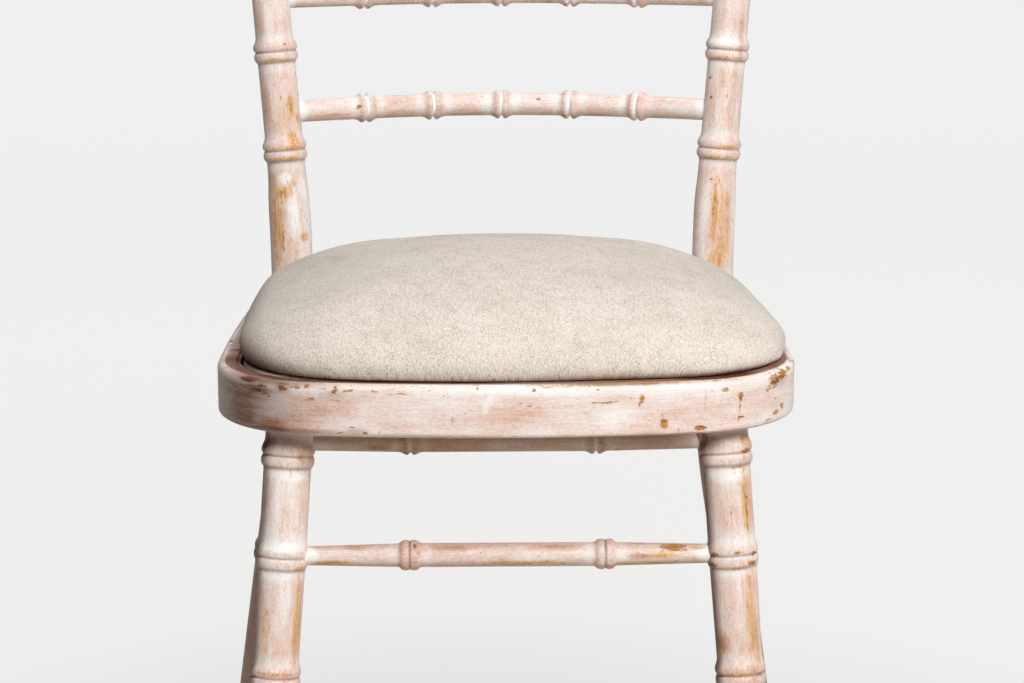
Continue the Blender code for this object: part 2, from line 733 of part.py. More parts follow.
def build_stretchers(legs, posts):
    leg_radius, post_radius = FRONT_LEG_TOP_DIAMETER / 2, POST_DIAMETER / 2
    low_radius = FRONT_LEG_LOW_DIAMETER / 2
    left_leg, right_leg = front_leg_route(-1), front_leg_route(1)
    left_post, right_post = post_route(-1), post_route(1)
    build_stretcher(
        "front_stretcher",
        left_leg.at_height(FRONT_RING_HEIGHTS[1]),
        right_leg.at_height(FRONT_RING_HEIGHTS[1]),
        legs,
        (leg_radius, leg_radius),
        FRONT_RING_SPAN,
    )
    build_stretcher(
        "rear_stretcher",
        left_post.at_height(UNDERSIDE - REAR_STRETCHER_DROP),
        right_post.at_height(UNDERSIDE - REAR_STRETCHER_DROP),
        posts,
        (post_radius, post_radius),
        REAR_RING_SPAN,
    )
    for side, leg, post, leg_line, post_line in (
        ("left", legs[0], posts[0], left_leg, left_post),
        ("right", legs[1], posts[1], right_leg, right_post),
    ):
        for level, height in zip(("upper", "lower"), FRONT_RING_HEIGHTS[2:]):
            build_stretcher(
                f"{side}_{level}_side_stretcher",
                leg_line.at_height(height),
                post_line.at_height(height),
                (leg, post),
                (low_radius, post_radius * 0.95),
                SIDE_RING_SPAN,
            )


def screw_outline(length, play=0.0):
    """A round-headed screw whose head starts at distance 0 and whose tip is at the length."""
    shank, head = SCREW_DIAMETER / 2 + play, SCREW_HEAD_DIAMETER / 2
    return [
        (-SCREW_HEAD_HEIGHT, 0.0),
        (-SCREW_HEAD_HEIGHT, head * 0.6),
        (-SCREW_HEAD_HEIGHT * 0.4, head),
        (0.0, head),
        (0.0, shank),
        (length - 2 * shank, shank),
        (length, 0.0),
    ]


def build_screw(name, start, direction, length, bored):
    """A screw whose head bears at start, and the pilot hole for it in each piece it passes."""
    head = start - direction * SCREW_HEAD_PLAY
    route = straight_route(head, head + direction * length, (0, 0, 1))
    new_part(name, turned_mesh(screw_outline(length), SCREW_SIDES, route), steel)
    radius = SCREW_DIAMETER / 2 + GAP
    hole = [(-RUN_OUT, 0.0), (-RUN_OUT, radius), (length + GAP, radius), (length + GAP, 0.0)]
    tool = new_tool(name + "_hole", turned_mesh(hole, SCREW_SIDES, route))
    for piece in bored:
        combine(piece, tool)


def build_block_screws(side, corner, block, frame):
    """Two screws through a front block into the hoop, on either side of the leg's tenon."""
    middle, outward, along = corner_frame(corner)
    height = LEDGE_HEIGHT - BLOCK_HEIGHT / 2
    core = corner_stations(corner)[1][0]
    depth = (SEAT_CORNER - HOOP_THICKNESS) ** 2 - SCREW_SPREAD**2
    length = math.sqrt(depth) - (middle - core).dot(outward) + SCREW_BITE
    for index, offset in enumerate((-SCREW_SPREAD, SCREW_SPREAD)):
        place = middle + along * offset
        start = Vector((place.x, place.y, height))
        direction = Vector((outward.x, outward.y, 0.0))
        build_screw(f"{side}_front_block_screw_{index + 1}", start, direction, length, (block, frame))


def build_post_screws(side, sign, corner, block, frame, post):
    """Two screws through a rear block and the hoop into the post that is notched over it."""
    middle, outward, _ = corner_frame(corner)
    core = corner_stations(corner)[1][0]
    direction = (Vector((sign * POST_SEAT_X, POST_SEAT_Y)) - core).normalized()
    reach = (middle - core).dot(outward) / direction.dot(outward)
    place = core + direction * reach
    length = SEAT_CORNER - reach + POST_SCREW_BITE
    centre = LEDGE_HEIGHT - BLOCK_HEIGHT / 2
    for index, rise in enumerate((-POST_SCREW_PITCH / 2, POST_SCREW_PITCH / 2)):
        build_screw(
            f"{side}_post_screw_{index + 1}",
            Vector((place.x, place.y, centre + rise)),
            Vector((direction.x, direction.y, 0.0)),
            length,
            (block, frame, post),
        )


clear_scene()
chair = new_collection("banqueting_chair")
tools = new_collection("cutters")
beech = new_material("limewashed_beech", (0.80, 0.70, 0.63), 0.60)
bare_beech = new_material("bare_beech", (0.62, 0.45, 0.28), 0.65)
plywood = new_material("birch_plywood", (0.66, 0.50, 0.33), 0.70)
linen = new_material("oatmeal_linen", (0.66, 0.60, 0.51), 0.95)
steel = new_material("zinc_steel", (0.62, 0.62, 0.60), 0.35, 1.0)

span = SEAT_WIDTH + SEAT_DEPTH
floor = new_tool("floor_plane", box_mesh((-span, -span, -span), (span, span, 0.0)))
seat_plane = new_tool(
    "shoulder_plane", box_mesh((-span, -span, UNDERSIDE - GAP), (span, span, span))
)
notch_loops = [seat_line(-GAP, height) for height in (UNDERSIDE - GAP, SEAT_HEIGHT + GAP)]
frame_notch = new_tool("frame_notch", lofted_mesh(notch_loops, False))

seat_frame = build_seat_frame()
build_pad_board()
build_pad()
front_legs = [build_front_leg(f"{side}_front_leg", sign) for side, sign in SIDES]
rear_posts = [build_rear_post(f"{side}_rear_post", sign) for side, sign in SIDES]

for (side, sign), front_corner, rear_corner, post in zip(SIDES, (3, 0), (2, 1), rear_posts):
    front_block = build_corner_block(f"{side}_front_corner_block", front_corner)
    rear_block = build_corner_block(f"{side}_rear_corner_block", rear_corner)
    mortise = leg_tenon(front_leg_route(sign), LEG_TENON_DIAMETER / 2 + GAP, LEG_TENON_LENGTH + GAP)
    mortise = new_tool(f"{side}_leg_mortise", mortise)
    combine(front_block, mortise)
    combine(seat_frame, mortise)
    build_block_screws(side, front_corner, front_block, seat_frame)
    build_post_screws(side, sign, rear_corner, rear_block, seat_frame, post)

build_back_rails(rear_posts)
build_stretchers(front_legs, rear_posts)
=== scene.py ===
import math
import random

import bmesh
import bpy
import numpy
from mathutils import Matrix, Vector


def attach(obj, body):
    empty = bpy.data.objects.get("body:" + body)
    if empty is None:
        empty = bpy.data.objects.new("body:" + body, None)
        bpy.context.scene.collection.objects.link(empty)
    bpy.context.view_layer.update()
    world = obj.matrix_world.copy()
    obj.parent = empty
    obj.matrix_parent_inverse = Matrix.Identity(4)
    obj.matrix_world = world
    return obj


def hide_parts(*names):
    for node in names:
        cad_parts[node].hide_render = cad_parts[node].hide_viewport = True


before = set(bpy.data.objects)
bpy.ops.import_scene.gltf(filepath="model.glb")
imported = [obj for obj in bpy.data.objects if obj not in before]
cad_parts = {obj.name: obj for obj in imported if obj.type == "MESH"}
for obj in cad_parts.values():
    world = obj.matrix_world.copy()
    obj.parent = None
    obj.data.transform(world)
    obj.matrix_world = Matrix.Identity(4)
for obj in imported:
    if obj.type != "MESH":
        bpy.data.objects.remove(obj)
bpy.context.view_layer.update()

# The camera: a long portrait lens at the height of the chair's back, about two metres in front
# of it and looking a little down, as the photograph was taken.
portrait_lens = bpy.data.cameras.new("portrait_lens")
portrait_lens.sensor_width = 36.0
portrait_lens.lens = 100.2
portrait_lens.clip_end = 60.0
camera = bpy.data.objects.new("camera", portrait_lens)
bpy.context.scene.collection.objects.link(camera)
heading = Matrix.Rotation(math.radians(-0.640), 4, "Z")
tilt = Matrix.Rotation(math.radians(90.0 - 11.928), 4, "X")
roll = Matrix.Rotation(math.radians(-0.184), 4, "Z")
camera.matrix_world = Matrix.Translation((-0.0179, -2.1116, 0.8798)) @ heading @ tilt @ roll
bpy.context.scene.camera = camera


# The two front legs: beech, turned on a lathe with four bamboo ring pairs each, lime-washed,
# and tenoned up into the seat frame. They lean outwards and forwards.
def colour(code):
    """An sRGB hex code as the linear colour that a shader takes."""
    parts = [int(code[place:place + 2], 16) / 255.0 for place in (1, 3, 5)]
    parts = [p / 12.92 if p <= 0.04045 else ((p + 0.055) / 1.055) ** 2.4 for p in parts]
    return (*parts, 1.0)


def add(owner, kind, settings, links=None):
    """Adds one node: its properties and unlinked inputs from settings, and links into it from
    sockets, or from nodes by their first output. A Mix of two colours takes its share at 0 and
    the colours at 6 and 7, and gives its result at output 2."""
    tree = owner.node_tree
    node = tree.nodes.new("ShaderNode" + kind)
    for key, value in settings.items():
        if key == "stops":
            stops = node.color_ramp.elements
            while len(stops) < len(value):
                stops.new(0.5)
            for stop, (place, code) in zip(stops, value):
                stop.position = place
                stop.color = colour(code)
        elif isinstance(key, int) or key in node.inputs:
            node.inputs[key].default_value = value
        else:
            setattr(node, key, value)
    for key, source in (links or {}).items():
        source = source.outputs[0] if isinstance(source, bpy.types.Node) else source
        tree.links.new(source, node.inputs[key])
    return node


def new_finish(name):
    """An empty material."""
    material = bpy.data.materials.new(name)
    material.use_nodes = True
    material.node_tree.nodes.clear()
    return material


def grain(material, place, across, along, detail, roughness):
    """Noise stretched along the grain, sized in millimetres across and along it."""
    size = (1000.0 / across, 1000.0 / across, 1000.0 / along)
    place = add(material, "VectorMath", {"operation": "MULTIPLY", 1: size}, {0: place})
    settings = {"Scale": 1.0, "Detail": detail, "Roughness": roughness}
    return add(material, "TexNoise", settings, {"Vector": place})


def layered(material, level, layers):
    """Patterns laid over each other on a level, each by its weight."""
    for weight, pattern in layers:
        settings, links = {"operation": "MULTIPLY_ADD", 1: weight}, {0: pattern}
        if isinstance(level, float):
            settings[2] = level
        else:
            links[2] = level
        level = add(material, "Math", settings, links)
    return level


# Lime-washed beech. The wash is thin and uneven, so the pink wood and its grain show through;
# it stands thick and white beside rings, is rubbed to tan on edges, and has chipped to bare wood.
# "blank" is a point's place in the straight wood before it was bent, so the grain follows it.
# "finish" holds how far paint is gone (red), how thick it lies (green) and how peach it is (blue),
# the last two with 0.5 as plain, and how much old dirt and wax, and painted shade, darken it
# (alpha). "rubbed" is how thin it has been rubbed.
lime_wash = new_finish("lime_washed_beech")
blank = add(lime_wash, "Attribute", {"attribute_name": "blank"}).outputs["Vector"]
rubbed = add(lime_wash, "Attribute", {"attribute_name": "rubbed"}).outputs["Fac"]
finish = add(lime_wash, "Attribute", {"attribute_name": "finish"}).outputs
dirt_and_shade = finish["Alpha"]
lost, thick, peach = add(lime_wash, "SeparateColor", {}, {0: finish["Color"]}).outputs

clouds = grain(lime_wash, blank, 26.0, 60.0, 3.0, 0.55)
brush = grain(lime_wash, blank, 5.0, 34.0, 3.0, 0.6)
streaks = grain(lime_wash, blank, 1.5, 26.0, 3.0, 0.6)
pores = grain(lime_wash, blank, 0.7, 9.0, 2.0, 0.5)
flakes = grain(lime_wash, blank, 2.4, 5.5, 5.0, 0.72)
specks = grain(lime_wash, blank, 0.9, 1.5, 1.0, 0.5)
mottle = grain(lime_wash, blank, 1.6, 3.0, 2.0, 0.65)
wash = layered(lime_wash, -0.94, (
    (0.9, clouds), (0.5, brush), (0.35, streaks), (0.25, pores), (0.6, mottle),
    (1.2, thick), (-0.9, peach),
))
paint = add(lime_wash, "ValToRGB", {"stops": (
    (0.05, "#BF937B"), (0.28, "#DEBBA9"), (0.46, "#E9D2C8"), (0.62, "#F1E5DF"), (0.85, "#F8F5F2"),
)}, {0: wash}).outputs[0]

# Grain lines, where the wash has sunk into the pores and dirt has followed it, and pinholes,
# drawn at about a millimetre because real ones are too fine to show
for pattern, low, high, most, stain in (
    (pores, 0.60, 0.76, 0.45, "#B98E79"), (specks, 0.63, 0.80, 0.40, "#AB8874"),
):
    share = add(lime_wash, "MapRange", {1: low, 2: high, 4: most}, {0: pattern})
    paint = add(lime_wash, "Mix", {"data_type": "RGBA", 7: colour(stain)}, {
        0: share, 6: paint,
    }).outputs[2]

# Paint rubbed so thin that it is stained ochre by the wood under it
thin = add(lime_wash, "MapRange", {"clamp": False, 3: -5.35, 4: -3.3}, {0: rubbed})
thin = layered(lime_wash, thin, ((3.0, streaks), (3.0, flakes), (3.2, mottle)))
thin.use_clamp = True
thin = add(lime_wash, "Math", {"operation": "MULTIPLY", 1: 0.9}, {0: thin})
ochre = add(lime_wash, "ValToRGB", {"stops": (
    (0.38, "#C4873F"), (0.50, "#DCA96C"), (0.62, "#EBC79C"),
)}, {0: streaks})
paint = add(lime_wash, "Mix", {"data_type": "RGBA"}, {
    0: thin, 6: paint, 7: ochre,
}).outputs[2]

# Bare wood where the paint has come off, with its own darker and lighter grain, and a brown rim
gone = layered(lime_wash, -1.75, ((2.4, flakes), (0.5, streaks), (0.6, mottle), (1.42, lost)))
rim = add(lime_wash, "MapRange", {1: 0.30, 2: 0.46, 4: 0.65}, {0: gone})
bare = add(lime_wash, "MapRange", {1: 0.46, 2: 0.50}, {0: gone})
tan = add(lime_wash, "ValToRGB", {"stops": (
    (0.56, "#774C22"), (0.67, "#B07536"), (0.80, "#D09B54"),
)}, {0: layered(lime_wash, 0.0, ((0.8, brush), (0.6, streaks)))})
paint = add(lime_wash, "Mix", {"data_type": "RGBA", 7: colour("#B98C6E")}, {
    0: rim, 6: paint,
}).outputs[2]
worn = add(lime_wash, "Mix", {"data_type": "RGBA"}, {
    0: bare, 6: paint, 7: tan,
}).outputs[2]

# Dirt and old wax, brown and patchy, in grooves and on tops, and painted shade in the same brown:
# on sides turned from the light, under the seat, under the rolls and on the hoop's left corner
soil_and_shade = layered(lime_wash, 0.30, ((0.9, brush), (0.5, pores)))
soil_and_shade = add(lime_wash, "Math", {"operation": "MULTIPLY", "use_clamp": True}, {
    0: soil_and_shade, 1: dirt_and_shade,
})
worn = add(lime_wash, "Mix", {
    "data_type": "RGBA", "blend_type": "MULTIPLY", 7: colour("#7A5A48"),
}, {0: soil_and_shade, 6: worn}).outputs[2]

# Relief: the paint is a tenth of a millimetre thick at a chip's edge, over raised grain
relief = layered(lime_wash, streaks, ((0.35, pores), (-0.8, bare)))
relief = add(lime_wash, "Bump", {"Strength": 0.5, "Distance": 0.00025}, {
    "Height": relief,
})
satin = add(lime_wash, "MapRange", {3: 0.52, 4: 0.70}, {0: bare})
shader = add(lime_wash, "BsdfPrincipled", {"IOR": 1.45}, {
    "Base Color": worn, "Roughness": satin, "Normal": relief,
})
add(lime_wash, "OutputMaterial", {}, {0: shader})


def open_shape(mesh):
    """A mesh opened for shaping."""
    shape = bmesh.new()
    shape.from_mesh(mesh)
    return shape


def close_shape(shape, mesh):
    """Puts a shape into a mesh."""
    shape.to_mesh(mesh)
    shape.free()
    return mesh


def turn_blank(name, length, shaft, rings, form, sides):
    """A straight turned piece round Z from 0 to its length. A shaft station is (distance, radius),
    a ring (distance, crown radius), and the form of a ring pair (offset in mm, share of crown)."""
    fine = numpy.linspace(0.0, length, int(length / 0.0002) + 1)
    radius = numpy.interp(fine, *zip(*shaft))
    near = numpy.zeros(len(fine), bool)
    for centre, crown in rings:
        offset = (fine - centre) * 1000.0
        share = numpy.interp(offset, *zip(*form), left=0.0, right=0.0)
        radius = radius + (crown - radius) * share
        near |= abs(offset) < 13.5

    # Rounded off over 1.2 mm, and kept every 0.4 mm at a ring pair and every 1.6 mm elsewhere
    soft = numpy.hanning(7)
    radius = numpy.convolve(numpy.pad(radius, 3, mode="edge"), soft / soft.sum(), mode="valid")
    order = numpy.arange(len(fine))
    keep = (order % 8 == 0) | (near & (order % 2 == 0))
    keep[-1] = True
    shape = bmesh.new()
    points = [shape.verts.new((0.0, 0.0, fine[0]))]
    points += [shape.verts.new((radius[place], 0.0, fine[place])) for place in order[keep]]
    points.append(shape.verts.new((0.0, 0.0, fine[-1])))
    outline = [shape.edges.new(pair) for pair in zip(points, points[1:])]
    bmesh.ops.spin(shape, geom=points + outline, axis=(0, 0, 1), cent=(0, 0, 0), angle=math.tau,
                   steps=sides, use_merge=True)
    bmesh.ops.remove_doubles(shape, verts=shape.verts, dist=0.000001)
    bmesh.ops.recalc_face_normals(shape, faces=shape.faces)
    return close_shape(shape, bpy.data.meshes.new(name))


def places(mesh):
    """A mesh's vertices as rows of x, y and z."""
    co = numpy.empty(len(mesh.vertices) * 3)
    mesh.vertices.foreach_get("co", co)
    return co.reshape(-1, 3)


def note(mesh, name, kind, field, values):
    """Notes a value for each vertex in an attribute of the mesh."""
    mesh.attributes.new(name, kind, "POINT").data.foreach_set(field, values.ravel())


def bend(mesh, line, side):
    """Bends a straight blank onto a line of points, keeping each vertex's place in the blank."""
    straight = places(mesh)
    note(mesh, "blank", "FLOAT_VECTOR", "vector", straight)
    line = numpy.array(line)
    steps = numpy.diff(line, axis=0)
    spans = numpy.linalg.norm(steps, axis=1)
    runs = numpy.concatenate(([0.0], numpy.cumsum(spans)))
    ways = numpy.gradient(line, axis=0) if len(line) > 2 else numpy.repeat(steps, 2, axis=0)
    ways[0], ways[-1] = steps[0], steps[-1]
    ways /= numpy.linalg.norm(ways, axis=1)[:, None]
    place = numpy.clip(numpy.searchsorted(runs, straight[:, 2]) - 1, 0, len(spans) - 1)
    share = ((straight[:, 2] - runs[place]) / spans[place])[:, None]
    turn = numpy.clip(share, 0.0, 1.0)
    along = ways[place] * (1 - turn) + ways[place + 1] * turn
    along /= numpy.linalg.norm(along, axis=1)[:, None]
    side = numpy.array(side, float)
    across = side - along * (along @ side)[:, None]
    across /= numpy.linalg.norm(across, axis=1)[:, None]
    over = numpy.cross(along, across)
    bent = line[place] + steps[place] * share + across * straight[:, :1] + over * straight[:, 1:2]
    mesh.vertices.foreach_set("co", bent.ravel())
    mesh.update()


def in_blank(mesh):
    """How far along its straight blank each vertex is, and its angle round it from the front."""
    straight = numpy.empty(len(mesh.vertices) * 3)
    mesh.attributes["blank"].data.foreach_get("vector", straight)
    x, y, z = straight.reshape(-1, 3).T
    return z, numpy.degrees(numpy.arctan2(x, -y))


def weather(mesh, across, along, wrap, plain, marks):
    """Writes the finish and rubbed attributes. plain holds each vertex's own bare, thick, peach,
    and dirt with painted shade. marks are pairs of a kind and its rows, and a row is (across,
    along, half width, half length, strength). Where wrap isn't 0, it is how much across it takes to
    go all round."""
    layers = dict(zip(("bare", "thick", "peach", "dirt_and_shade"), plain))
    layers["rubbed"] = numpy.zeros(len(across))
    for kind, rows in marks:
        for x, y, width, length, strength in rows:
            off = across - x
            if wrap:
                off = (off + wrap / 2) % wrap - wrap / 2
            reach = numpy.hypot(off / width, (along - y) / length)
            near = numpy.clip(1.4 - reach, 0.0, 1.0) * strength
            if kind in ("bare", "rubbed"):
                layers[kind] = numpy.maximum(layers[kind], near)
            else:
                layers[kind] = layers[kind] + near
    data = numpy.column_stack((
        layers["bare"], 0.5 + 0.5 * layers["thick"], 0.5 + 0.5 * layers["peach"],
        numpy.clip(layers["dirt_and_shade"], 0.0, 1.0),
    ))
    note(mesh, "finish", "FLOAT_COLOR", "color", data)
    note(mesh, "rubbed", "FLOAT", "value", layers["rubbed"])


def scatter(seed, count, across, along):
    """Wear where the photograph doesn't reach, of the kinds and sizes it shows elsewhere."""
    pick = random.Random(seed)
    marks = []
    for _ in range(count):
        kind = pick.choice(("bare", "bare", "peach", "thick"))
        size = pick.uniform(1.0, 3.2) if kind == "bare" else pick.uniform(4.0, 12.0)
        strength = pick.uniform(0.40, 0.62) if kind == "bare" else pick.uniform(0.4, 0.9)
        x, y = pick.uniform(*across), pick.uniform(*along)
        marks.append((kind, [(x, y, size * 3.4, size * pick.uniform(1.0, 4.0), strength)]))
    return marks


def ring_wear(distance, rings, filled, crease):
    """How a turned piece's paint lies along it: grooves filled with white or dark with dirt, rolls
    a little rubbed, thick shoulders, and painted shade, brown, in the crease that far under the
    groove, in mm."""
    bare, thick, peach, dirt_and_shade = numpy.zeros((4, len(distance)))
    for centre, _ in rings:
        offset = (distance - centre) * 1000.0
        if filled:
            thick += 1.0 * numpy.exp(-(offset / 1.6) ** 2)
        else:
            dirt_and_shade += 0.50 * numpy.exp(-(offset / 0.8) ** 2)
        thick += 0.30 * numpy.exp(-((abs(offset) - 12.0) / 4.0) ** 2)
        bare = numpy.maximum(bare, 0.07 * numpy.exp(-((abs(offset) - 4.5) / 2.2) ** 2))
        peach += 0.12 * numpy.exp(-((abs(offset) - 5.0) / 2.5) ** 2)
        # The crease under the lower roll gets painted shade
        if crease:
            dirt_and_shade += 0.40 * numpy.exp(-((offset + crease) / 1.5) ** 2)
    return bare, thick, peach, dirt_and_shade


def place_piece(name, mesh, node, material):
    """Puts a finished mesh in the scene in place of its CAD node."""
    mesh.materials.append(material)
    mesh.shade_smooth()
    mesh.set_sharp_from_angle(angle=math.radians(50))
    piece = bpy.data.objects.new(name, mesh)
    bpy.context.scene.collection.objects.link(piece)
    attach(piece, "root")
    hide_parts(node)
    return piece


def cut_foot(mesh):
    """Cuts a leg's foot off flat on the floor."""
    shape = open_shape(mesh)
    everything = shape.verts[:] + shape.edges[:] + shape.faces[:]
    cut = bmesh.ops.bisect_plane(shape, geom=everything, plane_co=(0, 0, 0), plane_no=(0, 0, 1),
                                 clear_inner=True)
    edges = [part for part in cut["geom_cut"] if isinstance(part, bmesh.types.BMEdge)]
    bmesh.ops.edgeloop_fill(shape, edges=edges)
    bmesh.ops.recalc_face_normals(shape, faces=shape.faces)
    close_shape(shape, mesh)


def leg_point(sign, height):
    """The middle of a front leg at a height."""
    foot = Vector((sign * 0.17977, -0.23051, 0.0))
    return foot.lerp(Vector((sign * 0.15169, -0.17186, leg_rise)), height / leg_rise)


# An upright's ring pair, from its lower end up: a round lower roll with a crease under it, a fine
# groove, and an upper roll that runs out smoothly
upright_rings = (
    (-12.0, 0.0), (-10.0, 0.03), (-9.2, 0.06), (-8.7, 0.10), (-8.2, 0.30), (-7.4, 0.60),
    (-6.2, 0.86), (-4.6, 0.99), (-3.0, 0.98), (-1.6, 0.84), (-0.7, 0.58), (0.0, 0.36), (0.7, 0.60),
    (1.6, 0.86), (2.8, 0.99), (4.2, 1.0), (5.6, 0.86), (7.0, 0.58), (8.6, 0.27), (10.2, 0.09),
    (12.2, 0.0),
)
upright_crease = 8.6
leg_rise = 0.413
foot_waste = 0.008

# Wear that the photograph shows, by degrees round the leg from the front and mm above the floor
leg_marks = {
    "left": {
        "rubbed": (
            (-48.4, 382.5, 45.3, 1.2, 0.5), (43.5, 361.2, 8.5, 26.8, 0.4),
            (49.7, 313.3, 18, 2, 1.1), (57.3, 273.8, 17.2, 32.5, 0.95),
            (-30.6, 270.1, 18.3, 30.2, 0.6), (19.8, 257.1, 55.6, 17.9, 0.35),
            (3, 239.7, 56.5, 1.4, 1.1),
        ),
        "thick": (
            (6.6, 377.7, 47, 3.3, 0.55), (-17.3, 350.4, 10, 20.6, 0.45),
            (-0.2, 327.9, 53.6, 3.3, 0.6), (-11.3, 308.2, 40.6, 2.8, 0.4),
            (19.6, 292, 12.5, 14.5, 0.35),
        ),
        "peach": (
            (55.3, 279.6, 12.5, 29.5, 0.4), (-42.4, 280, 10.6, 16.9, 0.3),
            (31.9, 390.6, 5.2, 3.1, 0.7), (7.4, 276.6, 60.7, 32.2, 0.3),
        ),
        # Painted shadow of the seat frame across the leg's top, and painted shade on its left side
        "dirt_and_shade": (
            (-18.4, 401.4, 85.3, 5, 0.5), (-56, 396.9, 25.2, 7.3, 0.5),
            (-50.7, 359.5, 13.5, 24.9, 0.4),
        ),
    },
    "right": {
        "bare": (
            (47.7, 391.8, 12.4, 2.1, 0.62), (40.3, 357.8, 5.7, 19.5, 0.44),
            (-1.6, 350.2, 3.4, 0.9, 0.7), (-49, 321.2, 13.2, 2.1, 0.6), (5.7, 322.3, 6.2, 1.2, 0.5),
            (55.7, 320.4, 15.3, 1.5, 0.62), (-56.2, 314.2, 13.1, 1.7, 0.52),
            (42.5, 314, 14.6, 1.9, 0.55),
        ),
        "rubbed": (
            (56.3, 400.4, 28.7, 3.7, 1.1), (26.3, 381.4, 31.4, 1, 1), (38.6, 358, 12.4, 22.8, 1.1),
            (23.6, 368.9, 5.1, 7.2, 0.6), (48.2, 355.6, 20.7, 22.8, 0.75),
            (1.2, 311.2, 46.8, 1.2, 0.9), (-38, 311.6, 17.6, 1, 0.8),
            (35.5, 273.2, 19.2, 38.3, 0.8), (32.7, 301.1, 9.9, 7.7, 0.9),
            (44.6, 281.2, 11.2, 33.2, 0.7), (-10.9, 237.7, 56.2, 1.7, 1),
            (50.2, 259.7, 11, 24.1, 0.9),
        ),
        "thick": (
            (-9.8, 375.3, 53.2, 3.7, 0.6), (-55.5, 282.7, 19.9, 18.4, 0.2),
            (-11.8, 393, 17, 2, 0.3),
        ),
        "peach": (
            (63.4, 398.7, 28.2, 4.9, 0.4), (61.4, 353.7, 26.4, 24.2, 0.3),
            (32.5, 273.3, 15.2, 32.1, 0.35), (-53.8, 259.4, 23.3, 7.6, 0.9),
            (49.3, 236.1, 15.3, 2, 0.8), (-9.5, 274.5, 59.7, 38.1, 0.4),
            (9.6, 355.5, 58, 26.7, 0.18),
        ),
        # Painted shadow of the seat frame across the leg's top and its left side
        "dirt_and_shade": ((-54.8, 399.7, 36.6, 5.6, 0.6), (8.2, 403.3, 73, 3, 0.4),),
    },
}
for side, sign in (("left", -1), ("right", 1)):
    foot, top = leg_point(sign, 0.0), leg_point(sign, leg_rise)
    way = (top - foot).normalized()
    stretch = (top - foot).length / leg_rise
    start, end = foot - way * foot_waste, top + way * 0.004
    rings = [(foot_waste + height * stretch, diameter / 2) for height, diameter in (
        (0.1480, 0.0345), (0.2362, 0.0357), (0.3200, 0.0362), (0.3908, 0.0375),
    )]
    shaft = ((0.0, 0.0134), (rings[1][0], 0.0158), (rings[2][0], 0.01665), (0.5, 0.01665))
    name = side + "_front_leg_turned"
    mesh = turn_blank(name, (end - start).length, shaft, rings, upright_rings, 96)
    bend(mesh, (start, end), (1, 0, 0))
    cut_foot(mesh)
    distance, around = in_blank(mesh)
    up = (distance - foot_waste) / stretch * 1000.0
    # Painted shade down the leg's left side, which is turned from the light
    painted_shade_unlit_side = [("dirt_and_shade", [(-86.0, 230.0, 30.0, 600.0, 1.0)])]
    scattered = scatter(int(side == "left"), 12, (90.0, 270.0), (10.0, 400.0))
    weather(mesh, around, up, 360.0, ring_wear(distance, rings, False, upright_crease),
            [*leg_marks[side].items(), *painted_shade_unlit_side, *scattered])
    place_piece(name, mesh, side + "_front_leg", lime_wash)


# The two rear posts: each one turned beech pole, steamed and bent below the seat and again above
# it, so that it splays back and out to the floor and leans back to the top rail.
def eased(corners, reaches):
    """A line of points whose corners are eased over a reach on either side, as bent wood is."""
    points = [Vector(corners[0])]
    for before, corner, after, reach in zip(corners, corners[1:], corners[2:], reaches):
        before, corner, after = Vector(before), Vector(corner), Vector(after)
        start = corner + (before - corner).normalized() * reach
        end = corner + (after - corner).normalized() * reach
        for step in range(25):
            share = step / 24
            points.append(start.lerp(corner, share).lerp(corner.lerp(end, share), share))
    points.append(Vector(corners[-1]))
    return points


def line_length(line):
    """How long a line of points is."""
    return sum((after - before).length for before, after in zip(line, line[1:]))


def run_to(line, height):
    """How far along a rising line a height is."""
    run = 0.0
    for start, end in zip(line, line[1:]):
        if end.z >= height:
            return run + (end - start).length * (height - start.z) / (end.z - start.z)
        run += (end - start).length
    return run


def point_at(line, run):
    """The point that far along a line."""
    for start, end in zip(line, line[1:]):
        if run <= (end - start).length or end is line[-1]:
            return start.lerp(end, run / (end - start).length)
        run -= (end - start).length


post_lines = {}

